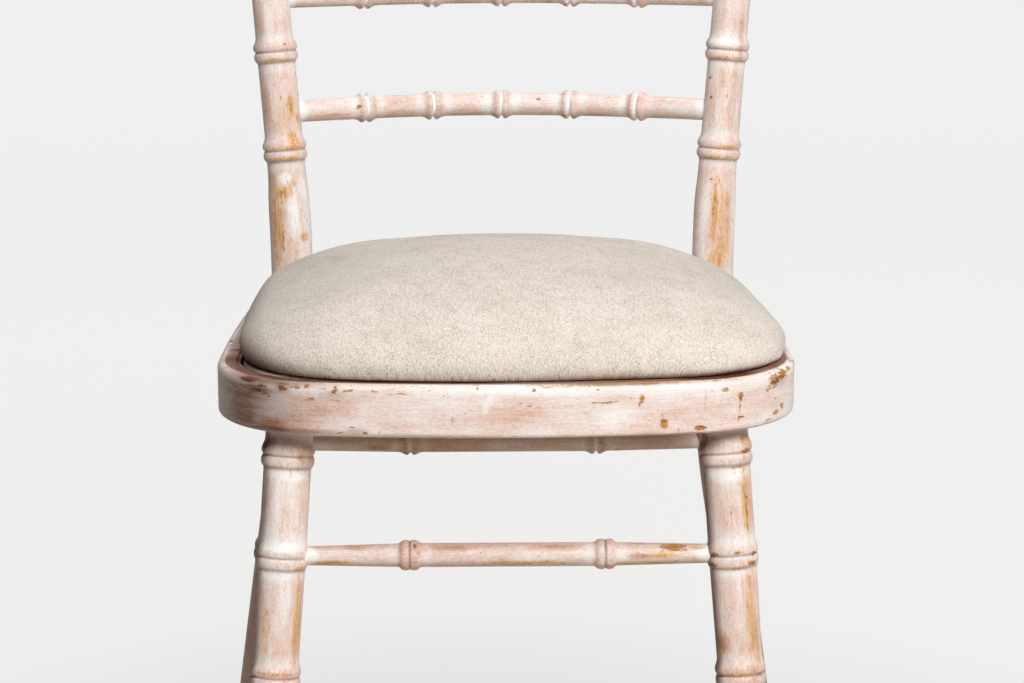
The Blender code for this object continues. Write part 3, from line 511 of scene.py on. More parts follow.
# Wear that the photograph shows, by degrees round the post and mm along it from its foot
post_marks = {
    "left": {
        "bare": (
            (31.6, 660.6, 4.7, 1, 0.66), (36.3, 611.2, 5.8, 6.3, 0.36), (-15, 543.3, 12, 1.9, 0.42),
            (-18.9, 510, 4.2, 31.6, 0.34),
        ),
        "rubbed": (
            (-7.8, 648.7, 28, 1.7, 1.15), (31.4, 647.8, 36.6, 1.4, 0.8),
            (36.3, 611.2, 18, 11.9, 1.1), (7.6, 611.8, 18.6, 11.6, 0.4),
            (61.8, 601.1, 18.3, 6, 0.8), (31, 584.3, 21.6, 8.8, 1.1), (-20.3, 595, 13.7, 7.9, 0.6),
            (22.9, 578.4, 33.9, 1.9, 1.2), (-19.2, 578.3, 24.7, 1.3, 0.8),
            (1.9, 569.9, 47.7, 1.7, 1.15), (-11.6, 543.3, 29.6, 5, 1.3),
            (19.6, 549.8, 12.2, 4.1, 0.9), (-36.2, 515.3, 24.8, 40.8, 1),
            (45.3, 507.2, 18.3, 4, 1.1), (-20.9, 528.3, 18.2, 11.1, 0.7),
            (-31.5, 676.9, 10.5, 20.2, 0.45), (12.5, 600.5, 44, 29.4, 0.5),
            (45.2, 647.6, 37.1, 8.1, 0.3), (-9.9, 494, 14.7, 11.1, 0.5),
            (-46.1, 549.7, 18.2, 11.1, 0.8),
        ),
        "thick": (
            (15.3, 525.4, 16.6, 17.1, 0.7), (-3.1, 555, 18.3, 4, 0.8),
            (50.5, 544.2, 17.1, 9.1, 0.3), (-9.9, 680.3, 19.4, 11.3, 0.3),
        ),
        "peach": (
            (-42, 673.3, 13.8, 19.4, 0.4), (-44.8, 617.7, 14.3, 23.9, 0.4),
            (-49.5, 553.7, 16.1, 6.4, 0.4),
        ),
    },
    "right": {
        "bare": (
            (-58.1, 632.2, 7.6, 1.1, 0.62), (-46, 616.5, 5.9, 1.2, 0.62),
            (-22, 552, 4.9, 1.2, 0.62), (-7.1, 529.4, 4.2, 18.8, 0.32),
            (19.2, 503.9, 3.7, 19.3, 0.28),
        ),
        "rubbed": (
            (-17.8, 648.2, 29.6, 1.8, 1.2), (26.8, 649.2, 24.4, 1.2, 0.8),
            (18.8, 578.3, 25.4, 1.6, 1.2), (-18.3, 576.6, 26.2, 1.3, 0.8),
            (-16.5, 569.1, 24.1, 1.8, 1.2), (18.5, 570.3, 25.9, 1.3, 0.7),
            (22, 512.2, 33.7, 45, 0.78), (-5.8, 524.7, 12, 31.8, 1.15), (30.2, 532, 9.6, 20.4, 0.8),
            (4.5, 486.5, 23.7, 14.5, 1.1),
        ),
        "thick": (
            (-13.3, 661, 51.4, 3, 0.7), (-35.3, 523.4, 16, 23.6, 0.5),
            (65.5, 523.5, 13.7, 24.8, 0.3),
        ),
        "peach": (
            (26.4, 615.9, 10.8, 23.9, 0.3), (-13, 630.7, 10.1, 15.9, 0.4),
            (34.4, 671.5, 10.5, 20, 0.5),
        ),
    },
}
for side, sign in (("left", -1), ("right", 1)):
    line = eased((
        (sign * 0.2243, 0.21912, 0.0), (sign * 0.1697, 0.15312, 0.345),
        (sign * 0.1697, 0.15312, 0.505), (sign * 0.20127, 0.18585, 0.890),
    ), (0.090, 0.055))
    post_lines[side] = line
    line = [line[0] + (line[0] - line[1]).normalized() * foot_waste] + line[1:]
    length = line_length(line)
    rings = [(run_to(line, height), diameter / 2) for height, diameter in (
        (0.220, 0.0362), (0.5584, 0.0352), (0.6366, 0.0350), (0.7273, 0.0348), (0.8180, 0.0345),
    )]
    # The pole, its slimmer upper part from where it swells above the seat, and its cap over a neck
    swell = run_to(line, 0.535)
    neck = length - 0.011
    shaft = (
        (0.0, 0.0134), (rings[0][0], 0.0162), (run_to(line, 0.300), 0.0167),
        (swell - 0.026, 0.0167), (swell - 0.012, 0.0163), (swell - 0.003, 0.0156),
        (swell + 0.006, 0.0152), (run_to(line, 0.588), 0.0150), (neck - 0.003, 0.0141),
        (neck, 0.0142), (length - 0.0088, 0.0156), (length - 0.0060, 0.0157),
        (length - 0.0038, 0.0147), (length - 0.0020, 0.0122), (length - 0.0008, 0.0090),
        (length, 0.0045),
    )
    name = side + "_rear_post_turned"
    mesh = turn_blank(name, length, shaft, rings, upright_rings, 80)
    bend(mesh, line, (1, 0, 0))
    cut_foot(mesh)
    distance, around = in_blank(mesh)
    up = distance * 1000.0
    bare, thick, peach, dirt_and_shade = ring_wear(distance, rings, False, upright_crease)
    # Below the seat the post is darkened and made more peach as painted shade
    painted_shade_under_seat = numpy.clip((470.0 - up) / 60.0, 0.0, 1.0)
    seed = int(side == "left")
    scattered = scatter(2 + seed, 26, (90.0, 270.0), (10.0, length * 1000.0))
    scattered += scatter(4 + seed, 10, (-80.0, 80.0), (10.0, 480.0))
    scattered += scatter(6 + seed, 7, (-80.0, 80.0), (700.0, length * 1000.0))
    plain = (bare, thick, peach + 0.5 * painted_shade_under_seat, dirt_and_shade + 0.40 * painted_shade_under_seat)
    weather(mesh, around, up, 360.0, plain, [*post_marks[side].items(), *scattered])
    place_piece(name, mesh, side + "_rear_post", lime_wash)


# The six stretchers: thin turned beech rungs, tenoned into legs and posts to brace them. The front
# one has fat rolls with a fine groove, the rear one and the four at the sides an open groove.
def mirrored(half):
    """The form of a ring pair from its upper half."""
    return [(-offset, share) for offset, share in half[::-1] if offset] + half


front_rung_rings = mirrored([
    (0.0, 0.52), (0.6, 0.80), (1.4, 0.97), (3.0, 1.0), (4.4, 0.96), (5.6, 0.74), (6.5, 0.40),
    (7.2, 0.16), (8.0, 0.04), (9.0, 0.0),
])
open_rung_rings = mirrored([
    (0.3, 0.06), (0.9, 0.26), (1.4, 0.66), (2.2, 0.95), (3.1, 1.0), (4.2, 0.92), (5.4, 0.64),
    (6.8, 0.30), (8.2, 0.10), (10.0, 0.0),
])


def post_point(side, height):
    """The middle of a rear post at a height."""
    return point_at(post_lines[side], run_to(post_lines[side], height))


def turn_rung(node, line, ends, widths, offsets, form, filled, settled, marks):
    """Turns a rung on a line between two middles. ends are the radii of the pieces it joins, and
    widths the diameters of its shaft, its ends and its rings. Paint may have filled its grooves,
    and settled is how dusty its top is."""
    name = node + "_turned"
    shaft_width, end_width, crown = widths
    length = line_length(line)
    middle = length / 2
    let_in = 0.006
    first, last = ends[0] - let_in, length - ends[1] + let_in
    rings = [(middle + offset - first, crown / 2) for offset in offsets]
    shaft = (
        (0.0, end_width / 2), (rings[0][0], shaft_width / 2), (rings[-1][0], shaft_width / 2),
        (last - first, end_width / 2),
    )
    mesh = turn_blank(name, last - first, shaft, rings, form, 48)
    straight = places(mesh)
    straight[:, 2] += first
    mesh.vertices.foreach_set("co", straight.ravel())
    bend(mesh, line, (0, 0, 1))
    around = numpy.degrees(numpy.arctan2(straight[:, 0], straight[:, 1]))
    upwards = numpy.sin(numpy.radians(around))
    on_top = settled * numpy.clip(upwards - 0.2, 0.0, 1.0)
    from_middle = straight[:, 2] - middle
    from_shoulder = middle - abs(from_middle) - ends[0]
    bare, thick, peach, dirt_and_shade = ring_wear(straight[:, 2] - first, rings, filled, 0.0)
    # The underside is made more peach as painted shade; the top holds dust
    plain = (
        bare,
        thick + 0.8 * numpy.exp(-(from_shoulder / 0.004) ** 2),
        peach + 0.35 * numpy.clip(-upwards - 0.1, 0.0, 1.0) + on_top,
        dirt_and_shade + on_top,
    )
    half = length * 500.0
    scattered = scatter(name, 9, (100.0, 260.0), (-half, half))
    if not marks:
        scattered += scatter(name + " front", 7, (-80.0, 80.0), (-half, half))
    weather(mesh, around, from_middle * 1000.0, 360.0, plain, [*marks.items(), *scattered])
    place_piece(name, mesh, node, lime_wash)


# Wear that the photograph shows, by degrees round the rung and mm from its middle
front_rung_marks = {
    "bare": (
        (57.2, 115.9, 27, 9.4, 0.6), (7.6, 108.7, 12.5, 6.3, 0.3), (-35.3, 8.6, 9.6, 36.3, 0.22),
        (52.7, -64.7, 16, 1.8, 0.5),
    ),
    "rubbed": (
        (7.6, 108.7, 20.1, 10.3, 1.2), (48.9, 132.6, 19.7, 6.2, 0.8), (57.2, 115.9, 30, 10, 0.8),
        (-30.6, -123.4, 20.3, 15.3, 1.1), (-41, -75.5, 15, 6.8, 0.8), (-47, -107, 11.2, 16.3, 0.7),
        (-39.6, 92.9, 19.1, 30.6, 0.8), (-27.9, 8.6, 14.1, 42.1, 0.9),
    ),
    "thick": ((14.1, -137.6, 41.7, 4.5, 0.9), (17.3, 136.1, 43, 4.6, 0.7),),
    "peach": (
        (51.8, -40.2, 18.7, 15.3, 0.5), (52.5, 36.7, 20.5, 17.5, 0.6),
        (61.9, -106.9, 22.3, 8.9, 0.5), (4.5, 92.6, 13.5, 7.5, 0.9),
    ),
}
stretcher_widths = (0.0168, 0.0131, 0.0214)
turn_rung("front_stretcher", (leg_point(-1, 0.320), leg_point(1, 0.320)), (0.01665, 0.01665),
          stretcher_widths, (-0.06855, 0.06855), front_rung_rings, False, 0.3, front_rung_marks)
turn_rung("rear_stretcher", (post_point("left", 0.316), post_point("right", 0.316)),
          (0.0167, 0.0167), stretcher_widths, (-0.076, 0.076), open_rung_rings, True, 0.3, {})
for side, sign in (("left", -1), ("right", 1)):
    for level, height in (("upper", 0.2362), ("lower", 0.1480)):
        line = leg_point(sign, height), post_point(side, height)
        turn_rung(f"{side}_{level}_side_stretcher", line, (0.0158, 0.0159), stretcher_widths,
                  (-0.075, 0.075), open_rung_rings, True, 0.3, {})


# The four back rails: turned beech with five ring pairs each, steamed to a bow that fits the
# sitter's back, and tenoned into the posts. White paint fills their grooves.
rail_bow = 0.049
ring_gap = 0.0565
first_rail_marks = {
    "bare": ((13.5, -121.1, 10.3, 2.4, 0.62), (32.5, 31.4, 8.8, 2.4, 0.58),),
    "rubbed": (
        (-22.1, -145.8, 16.6, 20.8, 0.75), (-24.5, -85.5, 13.2, 18.8, 0.6),
        (-24.3, -26.4, 13, 16.1, 0.5), (-17.9, 82.9, 13.2, 18.4, 0.5),
        (-20.1, 143, 15.2, 14.6, 0.35), (-25.2, 28.1, 13.3, 15.7, 0.4),
    ),
}
for number, height in ((1, 0.5880), (2, 0.6787), (3, 0.7694), (4, 0.8601)):
    start, end = post_point("left", height), post_point("right", height)
    line = []
    for step in range(49):
        share = step / 48
        line.append(start.lerp(end, share) + Vector((0.0, rail_bow * 4 * share * (1 - share), 0.0)))
    turn_rung(f"back_rail_{number}", line, (0.015, 0.015), (0.0180, 0.0167, 0.0234),
              [step * ring_gap for step in (-2, -1, 0, 1, 2)], open_rung_rings, True, 0.0,
              first_rail_marks if number == 1 else {})


# The seat frame: one strip of beech, bent on edge to a hoop and glued, with a rounded top edge and
# a rabbet inside that the pad drops into. The legs are tenoned up into it.
rim_height = 0.450
hoop_corner = 0.086
seat_forward = 0.02388


def seat_outline(spacing, margin, corner):
    """A line inside the hoop's outer face, as core points and outward ways, from the middle of the
    back round by the left side, and how far along each is."""
    reach = margin + corner
    front_bow, rear_bow, side_bow = 0.009, 0.007, 0.002
    front_x, rear_x = 0.410 / 2 - reach, 0.392 / 2 - reach
    front_y, rear_y = -0.200 + reach + front_bow, 0.200 - reach - rear_bow
    cores = [Vector(place) for place in (
        (-front_x, front_y), (front_x, front_y), (rear_x, rear_y), (-rear_x, rear_y),
    )]
    sides = []
    for number, bow in enumerate((front_bow, side_bow, rear_bow, side_bow)):
        start, end = cores[number], cores[(number + 1) % 4]
        length = (end - start).length
        along = (end - start) / length
        outward = Vector((along.y, -along.x))
        count = 2 * int(length / spacing / 2)
        line = []
        for step in range(count + 1):
            share = step / count
            core = start.lerp(end, share) + outward * bow * 4 * share * (1 - share)
            slope = 4 * bow * (1 - 2 * share) / length
            line.append((core, (outward - along * slope).normalized()))
        sides.append(line)
    stations = []
    for number, line in enumerate(sides):
        if number == 2:
            seam = len(stations) + len(line) // 2
        stations += line
        leaving, arriving = line[-1][1], sides[(number + 1) % 4][0][1]
        turn = leaving.angle(arriving)
        count = int(corner * turn / spacing)
        for step in range(1, count):
            stations.append((line[-1][0], Matrix.Rotation(turn * step / count, 2) @ leaving))
    stations = stations[seam:] + stations[:seam]
    core = numpy.array([station[0] for station in stations])
    outward = numpy.array([station[1] for station in stations])
    edge = core + outward * corner
    steps = numpy.linalg.norm(numpy.roll(edge, -1, axis=0) - edge, axis=1)
    run = numpy.concatenate(([0.0], numpy.cumsum(steps)[:-1]))
    return core, outward, run, steps.sum()


def rounded(centre, radius, start, end, steps):
    """Points of a section's rounded edge, from one angle to another in degrees."""
    angles = [math.radians(start + (end - start) * step / steps) for step in range(steps + 1)]
    return [(centre[0] - radius * math.cos(a), centre[1] + radius * math.sin(a)) for a in angles]


def spaced(start, end, count):
    """Points between two corners of a section, without the corners."""
    share = [step / count for step in range(1, count)]
    return [(start[0] + (end[0] - start[0]) * s, start[1] + (end[1] - start[1]) * s) for s in share]


def straight_strip(section, count, closed):
    """A section of (y, z) points drawn out along X, one unit a step."""
    rows = list(section) + list(section[:1 if closed else 0])
    shape = bmesh.new()
    bmesh.ops.create_grid(shape, x_segments=count, y_segments=len(rows) - 1, size=0.5)
    for vert in shape.verts:
        row = rows[round((vert.co.y + 0.5) * (len(rows) - 1))]
        vert.co = (round((vert.co.x + 0.5) * count), row[0], row[1])
    return shape


# The hoop's section by depth from its outer face and height: up the face, over the rounded edge
# and the rim, down the rabbet, along the ledge, and down and back under it
hoop_section = rounded((0.0032, 0.4162), 0.0032, -90, 0, 4)
hoop_section += spaced((0.0, 0.4162), (0.0, 0.4455), 22)
hoop_section += rounded((0.0045, 0.4455), 0.0045, 0, 90, 6)
hoop_section += spaced((0.0045, 0.450), (0.0148, 0.450), 7)
hoop_section += rounded((0.0148, 0.4488), -0.0012, 90, 0, 3)
hoop_section += [(0.016, 0.4445), (0.016, 0.4402), (0.0165, 0.440), (0.021, 0.440), (0.0255, 0.440),
                 (0.026, 0.4395), (0.026, 0.430), (0.026, 0.4135), (0.0255, 0.413), (0.018, 0.413),
                 (0.010, 0.413)]
core, outward, run, whole = seat_outline(0.0013, 0.0, hoop_corner)
mesh = bpy.data.meshes.new("seat_frame_bent")
close_shape(straight_strip(hoop_section, len(core), True), mesh)
strip = places(mesh)
depth, height = strip[:, 1], strip[:, 2]
step = numpy.rint(strip[:, 0]).astype(int)
station = step % len(core)
edge = core[station] + outward[station] * (hoop_corner - depth)[:, None]
bent = numpy.column_stack((edge[:, 0], edge[:, 1] - seat_forward, height))
mesh.vertices.foreach_set("co", bent.ravel())
along = numpy.where(step >= len(core), whole, run[station]) - whole / 2
flat = numpy.column_stack((depth, height, along))
note(mesh, "blank", "FLOAT_VECTOR", "vector", flat)

# Wear is placed by mm round the hoop from the middle of its front, and by mm up its face, then on
# inwards over the rim. It is darkest on the left corner, with painted shade, and on the rim, with
# dirt and painted shadow under the pad's edge.
across = along * 1000.0
up = numpy.where(depth < 0.0046, height * 1000.0, 450.0 + depth * 1000.0)
up = numpy.where((height < 0.4135) & (depth > 0.0033), 413.0 - depth * 1000.0, up)
bare = 0.24 * numpy.exp(-((up - 452.0) / 2.5) ** 2)
thick = 0.10 + 0.3 * numpy.exp(-((up - 446.0) / 3.0) ** 2)
peach = 0.5 * numpy.exp(-((up - 460.0) / 5.0) ** 2)
# The left corner of the face, turned from the light, is darkened as painted shade
dirt_and_shade = numpy.interp(across, (-300, -250, -222, -200, -184, -168, -150, -125, -90),
                    (0.25, 0.35, 0.6, 0.9, 0.95, 0.65, 0.30, 0.10, 0.0), left=0.2)
dirt_and_shade *= numpy.clip((449.0 - up) / 6.0, 0.35, 1.0)
# The rim darkens inwards: dirt, and painted shadow under the pad's edge
rim_dirt_and_shadow = numpy.interp(across, (-270, -255, -150, -120, 255, 270),
                        (0.4, 0.95, 0.95, 0.75, 0.75, 0.4))
dirt_and_shade = numpy.maximum(dirt_and_shade, rim_dirt_and_shadow * numpy.clip((up - 452.5) / 3.0, 0.0, 1.0))
dirt_and_shade = numpy.where(up > 465.8, 0.25, dirt_and_shade)
hoop_marks = {
    "bare": (
        (-176.9, 442, 6.1, 1.5, 0.5), (-170.6, 440.8, 5.2, 0.8, 0.44),
        (-165.5, 439.3, 8.1, 0.7, 0.34), (-172.2, 445.9, 7.1, 1, 0.46),
        (-188.2, 447.4, 7.6, 1, 0.42), (-155.7, 445.7, 3.8, 2, 0.58), (-145.3, 446.8, 6, 0.9, 0.44),
        (-137.4, 448.2, 2.3, 1.2, 0.58), (-128.2, 446.9, 4.8, 0.7, 0.44),
        (-117.8, 446.8, 1.8, 2.7, 0.52), (-120, 443.4, 2.8, 1.1, 0.5),
        (-108.2, 446.1, 4.8, 1, 0.42), (-136.8, 439.4, 7.9, 0.9, 0.4), (-119.4, 439, 5.1, 0.8, 0.4),
        (-71.8, 443.8, 7.9, 0.8, 0.46), (-160.1, 421.3, 2.3, 1.7, 0.44),
        (-106.4, 420.5, 2.1, 1.1, 0.5), (-97.5, 416.4, 2.4, 1.3, 0.52),
        (-87.9, 416.7, 2.1, 1.1, 0.48), (-93.8, 445.2, 7.1, 0.8, 0.34),
        (-52.7, 447.2, 7.2, 0.7, 0.36), (-114.8, 416.2, 4, 0.9, 0.4),
        (-20.6, 448.5, 1.3, 0.8, 0.62), (18, 447.1, 1.5, 1.1, 0.62), (47.9, 446.7, 1.9, 0.9, 0.58),
        (54.9, 446.3, 2, 0.7, 0.5), (61, 446.6, 1.8, 0.8, 0.56), (-43.2, 442.5, 1.1, 1, 0.58),
        (3.1, 439.7, 2, 0.7, 0.44), (9.1, 437.9, 2.8, 0.7, 0.48), (15.3, 436.4, 2.3, 0.7, 0.46),
        (20.6, 434.6, 2, 0.7, 0.44), (65.7, 437.2, 10.4, 0.8, 0.6), (91.9, 439.4, 1.8, 3.4, 0.62),
        (90.5, 435.9, 1.2, 2.1, 0.5), (107.4, 421.4, 2.7, 3.6, 0.72),
        (105.6, 428.5, 0.7, 4.2, 0.48), (117.1, 416.8, 1, 2.3, 0.52),
        (133.2, 417.9, 4.5, 2.1, 0.74), (151, 443.1, 3, 1.5, 0.68), (163.1, 437.8, 1.8, 3.1, 0.7),
        (162.2, 429.8, 0.8, 4.9, 0.5), (161.6, 422.3, 0.8, 4.7, 0.5),
        (164.9, 422.7, 1.8, 0.7, 0.46), (196.6, 443.9, 7.3, 5.6, 0.5), (208.3, 446, 7.9, 4.2, 0.52),
        (219.7, 447.8, 5.2, 2.1, 0.46), (189.5, 439.4, 3.3, 3.3, 0.44),
        (199.7, 431.2, 5.1, 0.8, 0.48), (198.6, 420.6, 4, 2.1, 0.52),
        (207.3, 423.9, 3.9, 2.1, 0.48), (189, 416.7, 4.6, 2.1, 0.36), (97.6, 449.2, 8.3, 0.4, 0.36),
        (172.5, 460.8, 5.9, 2.8, 0.34), (264.8, 455, 3.6, 3.6, 0.34), (242.3, 448.9, 8.9, 9, 0.3),
    ),
    "rubbed": (
        (97.8, 449.5, 13.2, 0.7, 1.2), (36.1, 449.8, 27.5, 3.4, 0.6),
        (172.5, 460.8, 11.8, 5.6, 1.2), (77.1, 449.9, 58.1, 1.8, 0.9), (154.3, 457.6, 25.3, 9.6, 1),
        (196.9, 462.6, 11.2, 2.5, 1), (210.2, 463.1, 8.4, 7.8, 1.2),
    ),
    "thick": (
        (-11.3, 441.2, 1.9, 4.1, 0.5), (-14.8, 435.6, 2, 4.8, 0.5), (22, 445.7, 40.3, 2.7, 0.2),
        (125.2, 443, 44.2, 2.8, 0.22), (73.4, 428.7, 11.2, 9.5, 0.2),
    ),
    "peach": (
        (-164.3, 419.6, 9.9, 5.4, 1), (-142.5, 431.3, 16, 14.9, 0.75),
        (-119.3, 430.8, 14.6, 12.8, 0.45), (22, 429.7, 40.1, 10.6, 0.3),
        (132.6, 428.8, 40.7, 8.7, 0.15), (-146.4, 448.5, 28.9, 2.6, 0.35),
        (168.2, 456.2, 10.7, 1.9, 0.9), (293.9, 448.8, 6.7, 5.2, 0.9),
        (63.3, 414.2, 35.7, 0.5, 0.8), (132.8, 413.7, 36.3, 0.9, 0.9),
    ),
    # Marks of dirt, and of painted shade on the left corner and along the rim by the pad's edge
    "dirt_and_shade": (
        (-155.7, 445.3, 6.8, 3.6, 0.3), (-175, 443.1, 11.5, 2.8, 0.35),
        (-119.4, 443.3, 8.4, 4.1, 0.25), (-188.2, 447.4, 7.6, 1.5, 0.3),
        (-103, 417.3, 8.7, 2.8, 0.4), (-37.2, 426.4, 0.8, 2.1, 0.7),
        (135.8, 437.1, 0.6, 10.4, 0.35), (205.1, 442.4, 9.4, 5.6, 0.35),
        (77.2, 450, 52.8, 1.5, 0.45), (155.1, 459.2, 27.2, 8.5, 0.45),
        (-123.4, 460.5, 34.8, 3.6, 0.5), (-53.3, 459.5, 38.1, 1.2, 0.45),
        (-173.8, 449.2, 28.4, 3.2, 0.6), (-135.6, 448.9, 20.1, 1.8, 0.3),
        (-147.6, 463.1, 11, 2.7, 0.3), (-286.9, 470.3, 6.5, 3.9, 0.8),
        (-160.5, 462.1, 18.8, 4.3, 0.5), (-282, 460.4, 4.3, 5.1, 0.45), (-143, 416.4, 29, 1.8, 0.6),
        (-59.7, 414.9, 42.5, 1.3, 0.35),
    ),
}
scattered = []
for seed, reach in ((20, (-710.0, -300.0)), (21, (300.0, 710.0))):
    for kind, ((x, y, width, length, strength),) in scatter(seed, 26, reach, (413.0, 466.0)):
        scattered.append((kind, [(x, y, length, width / 3.4, strength)]))
weather(mesh, across, up, 0.0, (bare, thick, peach, dirt_and_shade), [*hoop_marks.items(), *scattered])
shape = open_shape(mesh)
bmesh.ops.remove_doubles(shape, verts=shape.verts, dist=0.000001)
bmesh.ops.recalc_face_normals(shape, faces=shape.faces)
close_shape(shape, mesh)
place_piece("seat_frame_bent", mesh, "seat_frame", lime_wash)


# The four corner blocks: sawn beech, glued inside the hoop below the ledge and left bare. The
# front pair take the legs' tenons.
sawn_beech = new_finish("sawn_beech")
place = add(sawn_beech, "TexCoord", {}).outputs["Object"]
place = add(sawn_beech, "VectorRotate", {
    "rotation_type": "X_AXIS", "Angle": math.radians(90),
}, {0: place})
bands = grain(sawn_beech, place, 2.5, 40.0, 3.0, 0.55)
flecks = grain(sawn_beech, place, 0.6, 5.0, 2.0, 0.5)
tone = add(sawn_beech, "ValToRGB", {"stops": (
    (0.30, "#B58A5F"), (0.55, "#CFA67A"), (0.75, "#DDBB92"),
)}, {0: bands})
rays = add(sawn_beech, "MapRange", {1: 0.60, 2: 0.72, 4: 0.5}, {0: flecks})
tone = add(sawn_beech, "Mix", {"data_type": "RGBA", 7: colour("#8E6238")}, {
    0: rays, 6: tone,
})
saw = add(sawn_beech, "Bump", {"Strength": 0.4, "Distance": 0.0002}, {"Height": flecks})
shader = add(sawn_beech, "BsdfPrincipled", {"Roughness": 0.75, "IOR": 1.45}, {
    "Base Color": tone.outputs[2], "Normal": saw,
})
add(sawn_beech, "OutputMaterial", {}, {0: shader})


def refinish(node, material, ease):
    """Gives a CAD piece its finish, its triangles welded and its edges eased by a small bevel."""
    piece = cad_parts[node]
    piece.data.materials.clear()
    piece.data.materials.append(material)
    weld = piece.modifiers.new("weld", "WELD")
    weld.merge_threshold = 0.00001
    bevel = piece.modifiers.new("eased_edges", "BEVEL")
    bevel.width = ease
    bevel.segments = 2
    bevel.limit_method = "ANGLE"
    bevel.angle_limit = math.radians(35)


for corner in ("left_front", "right_front", "left_rear", "right_rear"):
    refinish(corner + "_corner_block", sawn_beech, 0.0008)


# The screws: zinc-plated steel with round heads, two through each front block into the hoop and
# two through each rear block and the hoop into the post behind it. The plating has gone dull.
zinc = new_finish("zinc_plated_steel")
place = add(zinc, "TexCoord", {}).outputs["Object"]
spangle = grain(zinc, place, 1.2, 1.2, 3.0, 0.6)
tone = add(zinc, "ValToRGB", {"stops": ((0.35, "#8C8B86"), (0.6, "#C4C3BE"))}, {0: spangle})
dull = add(zinc, "MapRange", {1: 0.3, 2: 0.7, 3: 0.28, 4: 0.50}, {0: spangle})
shader = add(zinc, "BsdfPrincipled", {"Metallic": 1.0}, {
    "Base Color": tone, "Roughness": dull,
})
add(zinc, "OutputMaterial", {}, {0: shader})
for side in ("left", "right"):
    for kind in ("front_block_screw_1", "front_block_screw_2", "post_screw_1", "post_screw_2"):
        refinish(f"{side}_{kind}", zinc, 0.0002)


# The pad's board: birch plywood, sawn to the rabbet and bare underneath, with wide veins. It rests
# on the hoop's ledge and the blocks, and carries the foam.
plywood = new_finish("birch_plywood")
place = add(plywood, "TexCoord", {}).outputs["Object"]
bands = grain(plywood, place, 6.0, 6.0, 3.0, 0.55)
place = add(plywood, "VectorMath", {"operation": "MULTIPLY", 1: (1.0, 0.06, 1.0)}, {
    0: place,
})
veins = grain(plywood, place, 1.2, 1.2, 3.0, 0.6)
tone = add(plywood, "ValToRGB", {"stops": (
    (0.55, "#B98F60"), (0.8, "#D3AE7E"), (1.0, "#E0C298"),
)}, {0: layered(plywood, bands, ((0.6, veins),))})
shader = add(plywood, "BsdfPrincipled", {"Roughness": 0.72, "IOR": 1.45}, {
    "Base Color": tone,
})
add(plywood, "OutputMaterial", {}, {0: shader})
refinish("pad_board", plywood, 0.0006)


# The drop-in pad: foam on the board under one piece of oatmeal linen, pulled down over its edge
# and stapled beneath. It lies loose, a little forward and turned to the left.
def threads(across, along, detail):
    """Noise drawn out along the warp, sized in millimetres across and along it."""
    size = (1000.0 / across, 1000.0 / along, 1.0)
    place = add(linen, "VectorMath", {"operation": "MULTIPLY", 1: size}, {0: cloth})
    settings = {"noise_dimensions": "2D", "Scale": 1.0, "Detail": detail, "Roughness": 0.6}
    return add(linen, "TexNoise", settings, {"Vector": place})


# Oatmeal linen, plain woven from uneven yarn, which gives fine upright ribs, slubs and dark flecks
# of straw. Its threads are drawn coarser than real ones, which are too fine to show. Its left edge
# is darkened as painted shade.
linen = new_finish("oatmeal_linen")
cloth = add(linen, "Attribute", {"attribute_name": "cloth"}).outputs["Vector"]
warp = threads(0.65, 3.2, 1.5)
weft = threads(3.6, 0.8, 1.0)
nubs = threads(0.8, 1.3, 1.0)
slubs = threads(2.2, 9.0, 2.0)
straw = threads(0.85, 1.5, 1.0)
clusters = threads(14.0, 22.0, 3.0)
patches = threads(60.0, 60.0, 2.0)
yarn = layered(linen, 0.20, (
    (0.95, warp), (0.3, weft), (0.15, nubs), (0.4, slubs), (0.25, patches),
))
tone = add(linen, "MapRange", {1: 0.79, 2: 1.76}, {0: yarn})
tone = add(linen, "ValToRGB", {"stops": (
    (0.0, "#B3A596"), (0.35, "#CFC4B7"), (0.50, "#DED4C9"), (0.70, "#E8E0D6"), (1.0, "#F2EBE3"),
)}, {0: tone})
straw = layered(linen, straw, ((0.35, clusters),))
straw = add(linen, "MapRange", {1: 0.83, 2: 0.90, 4: 0.85}, {0: straw})
tone = add(linen, "Mix", {"data_type": "RGBA", 7: colour("#7A6A58")}, {0: straw, 6: tone})
# Painted shade: the left edge, turned from the light, is darkened in brown-grey
painted_shade_left_edge = add(linen, "SeparateXYZ", {}, {0: cloth})
painted_shade_left_edge = add(linen, "MapRange", {1: -0.198, 2: -0.228, 4: 0.8}, {0: painted_shade_left_edge})
tone = add(linen, "Mix", {
    "data_type": "RGBA", "blend_type": "MULTIPLY", 7: colour("#A08F7E"),
}, {0: painted_shade_left_edge, 6: tone.outputs[2]})
weave = add(linen, "Bump", {"Strength": 0.5, "Distance": 0.0004}, {"Height": yarn})
shader = add(linen, "BsdfPrincipled", {
    "Roughness": 0.95, "IOR": 1.4, "Sheen Weight": 0.15, "Sheen Roughness": 0.5,
}, {"Base Color": tone.outputs[2], "Normal": weave})
add(linen, "OutputMaterial", {}, {0: shader})

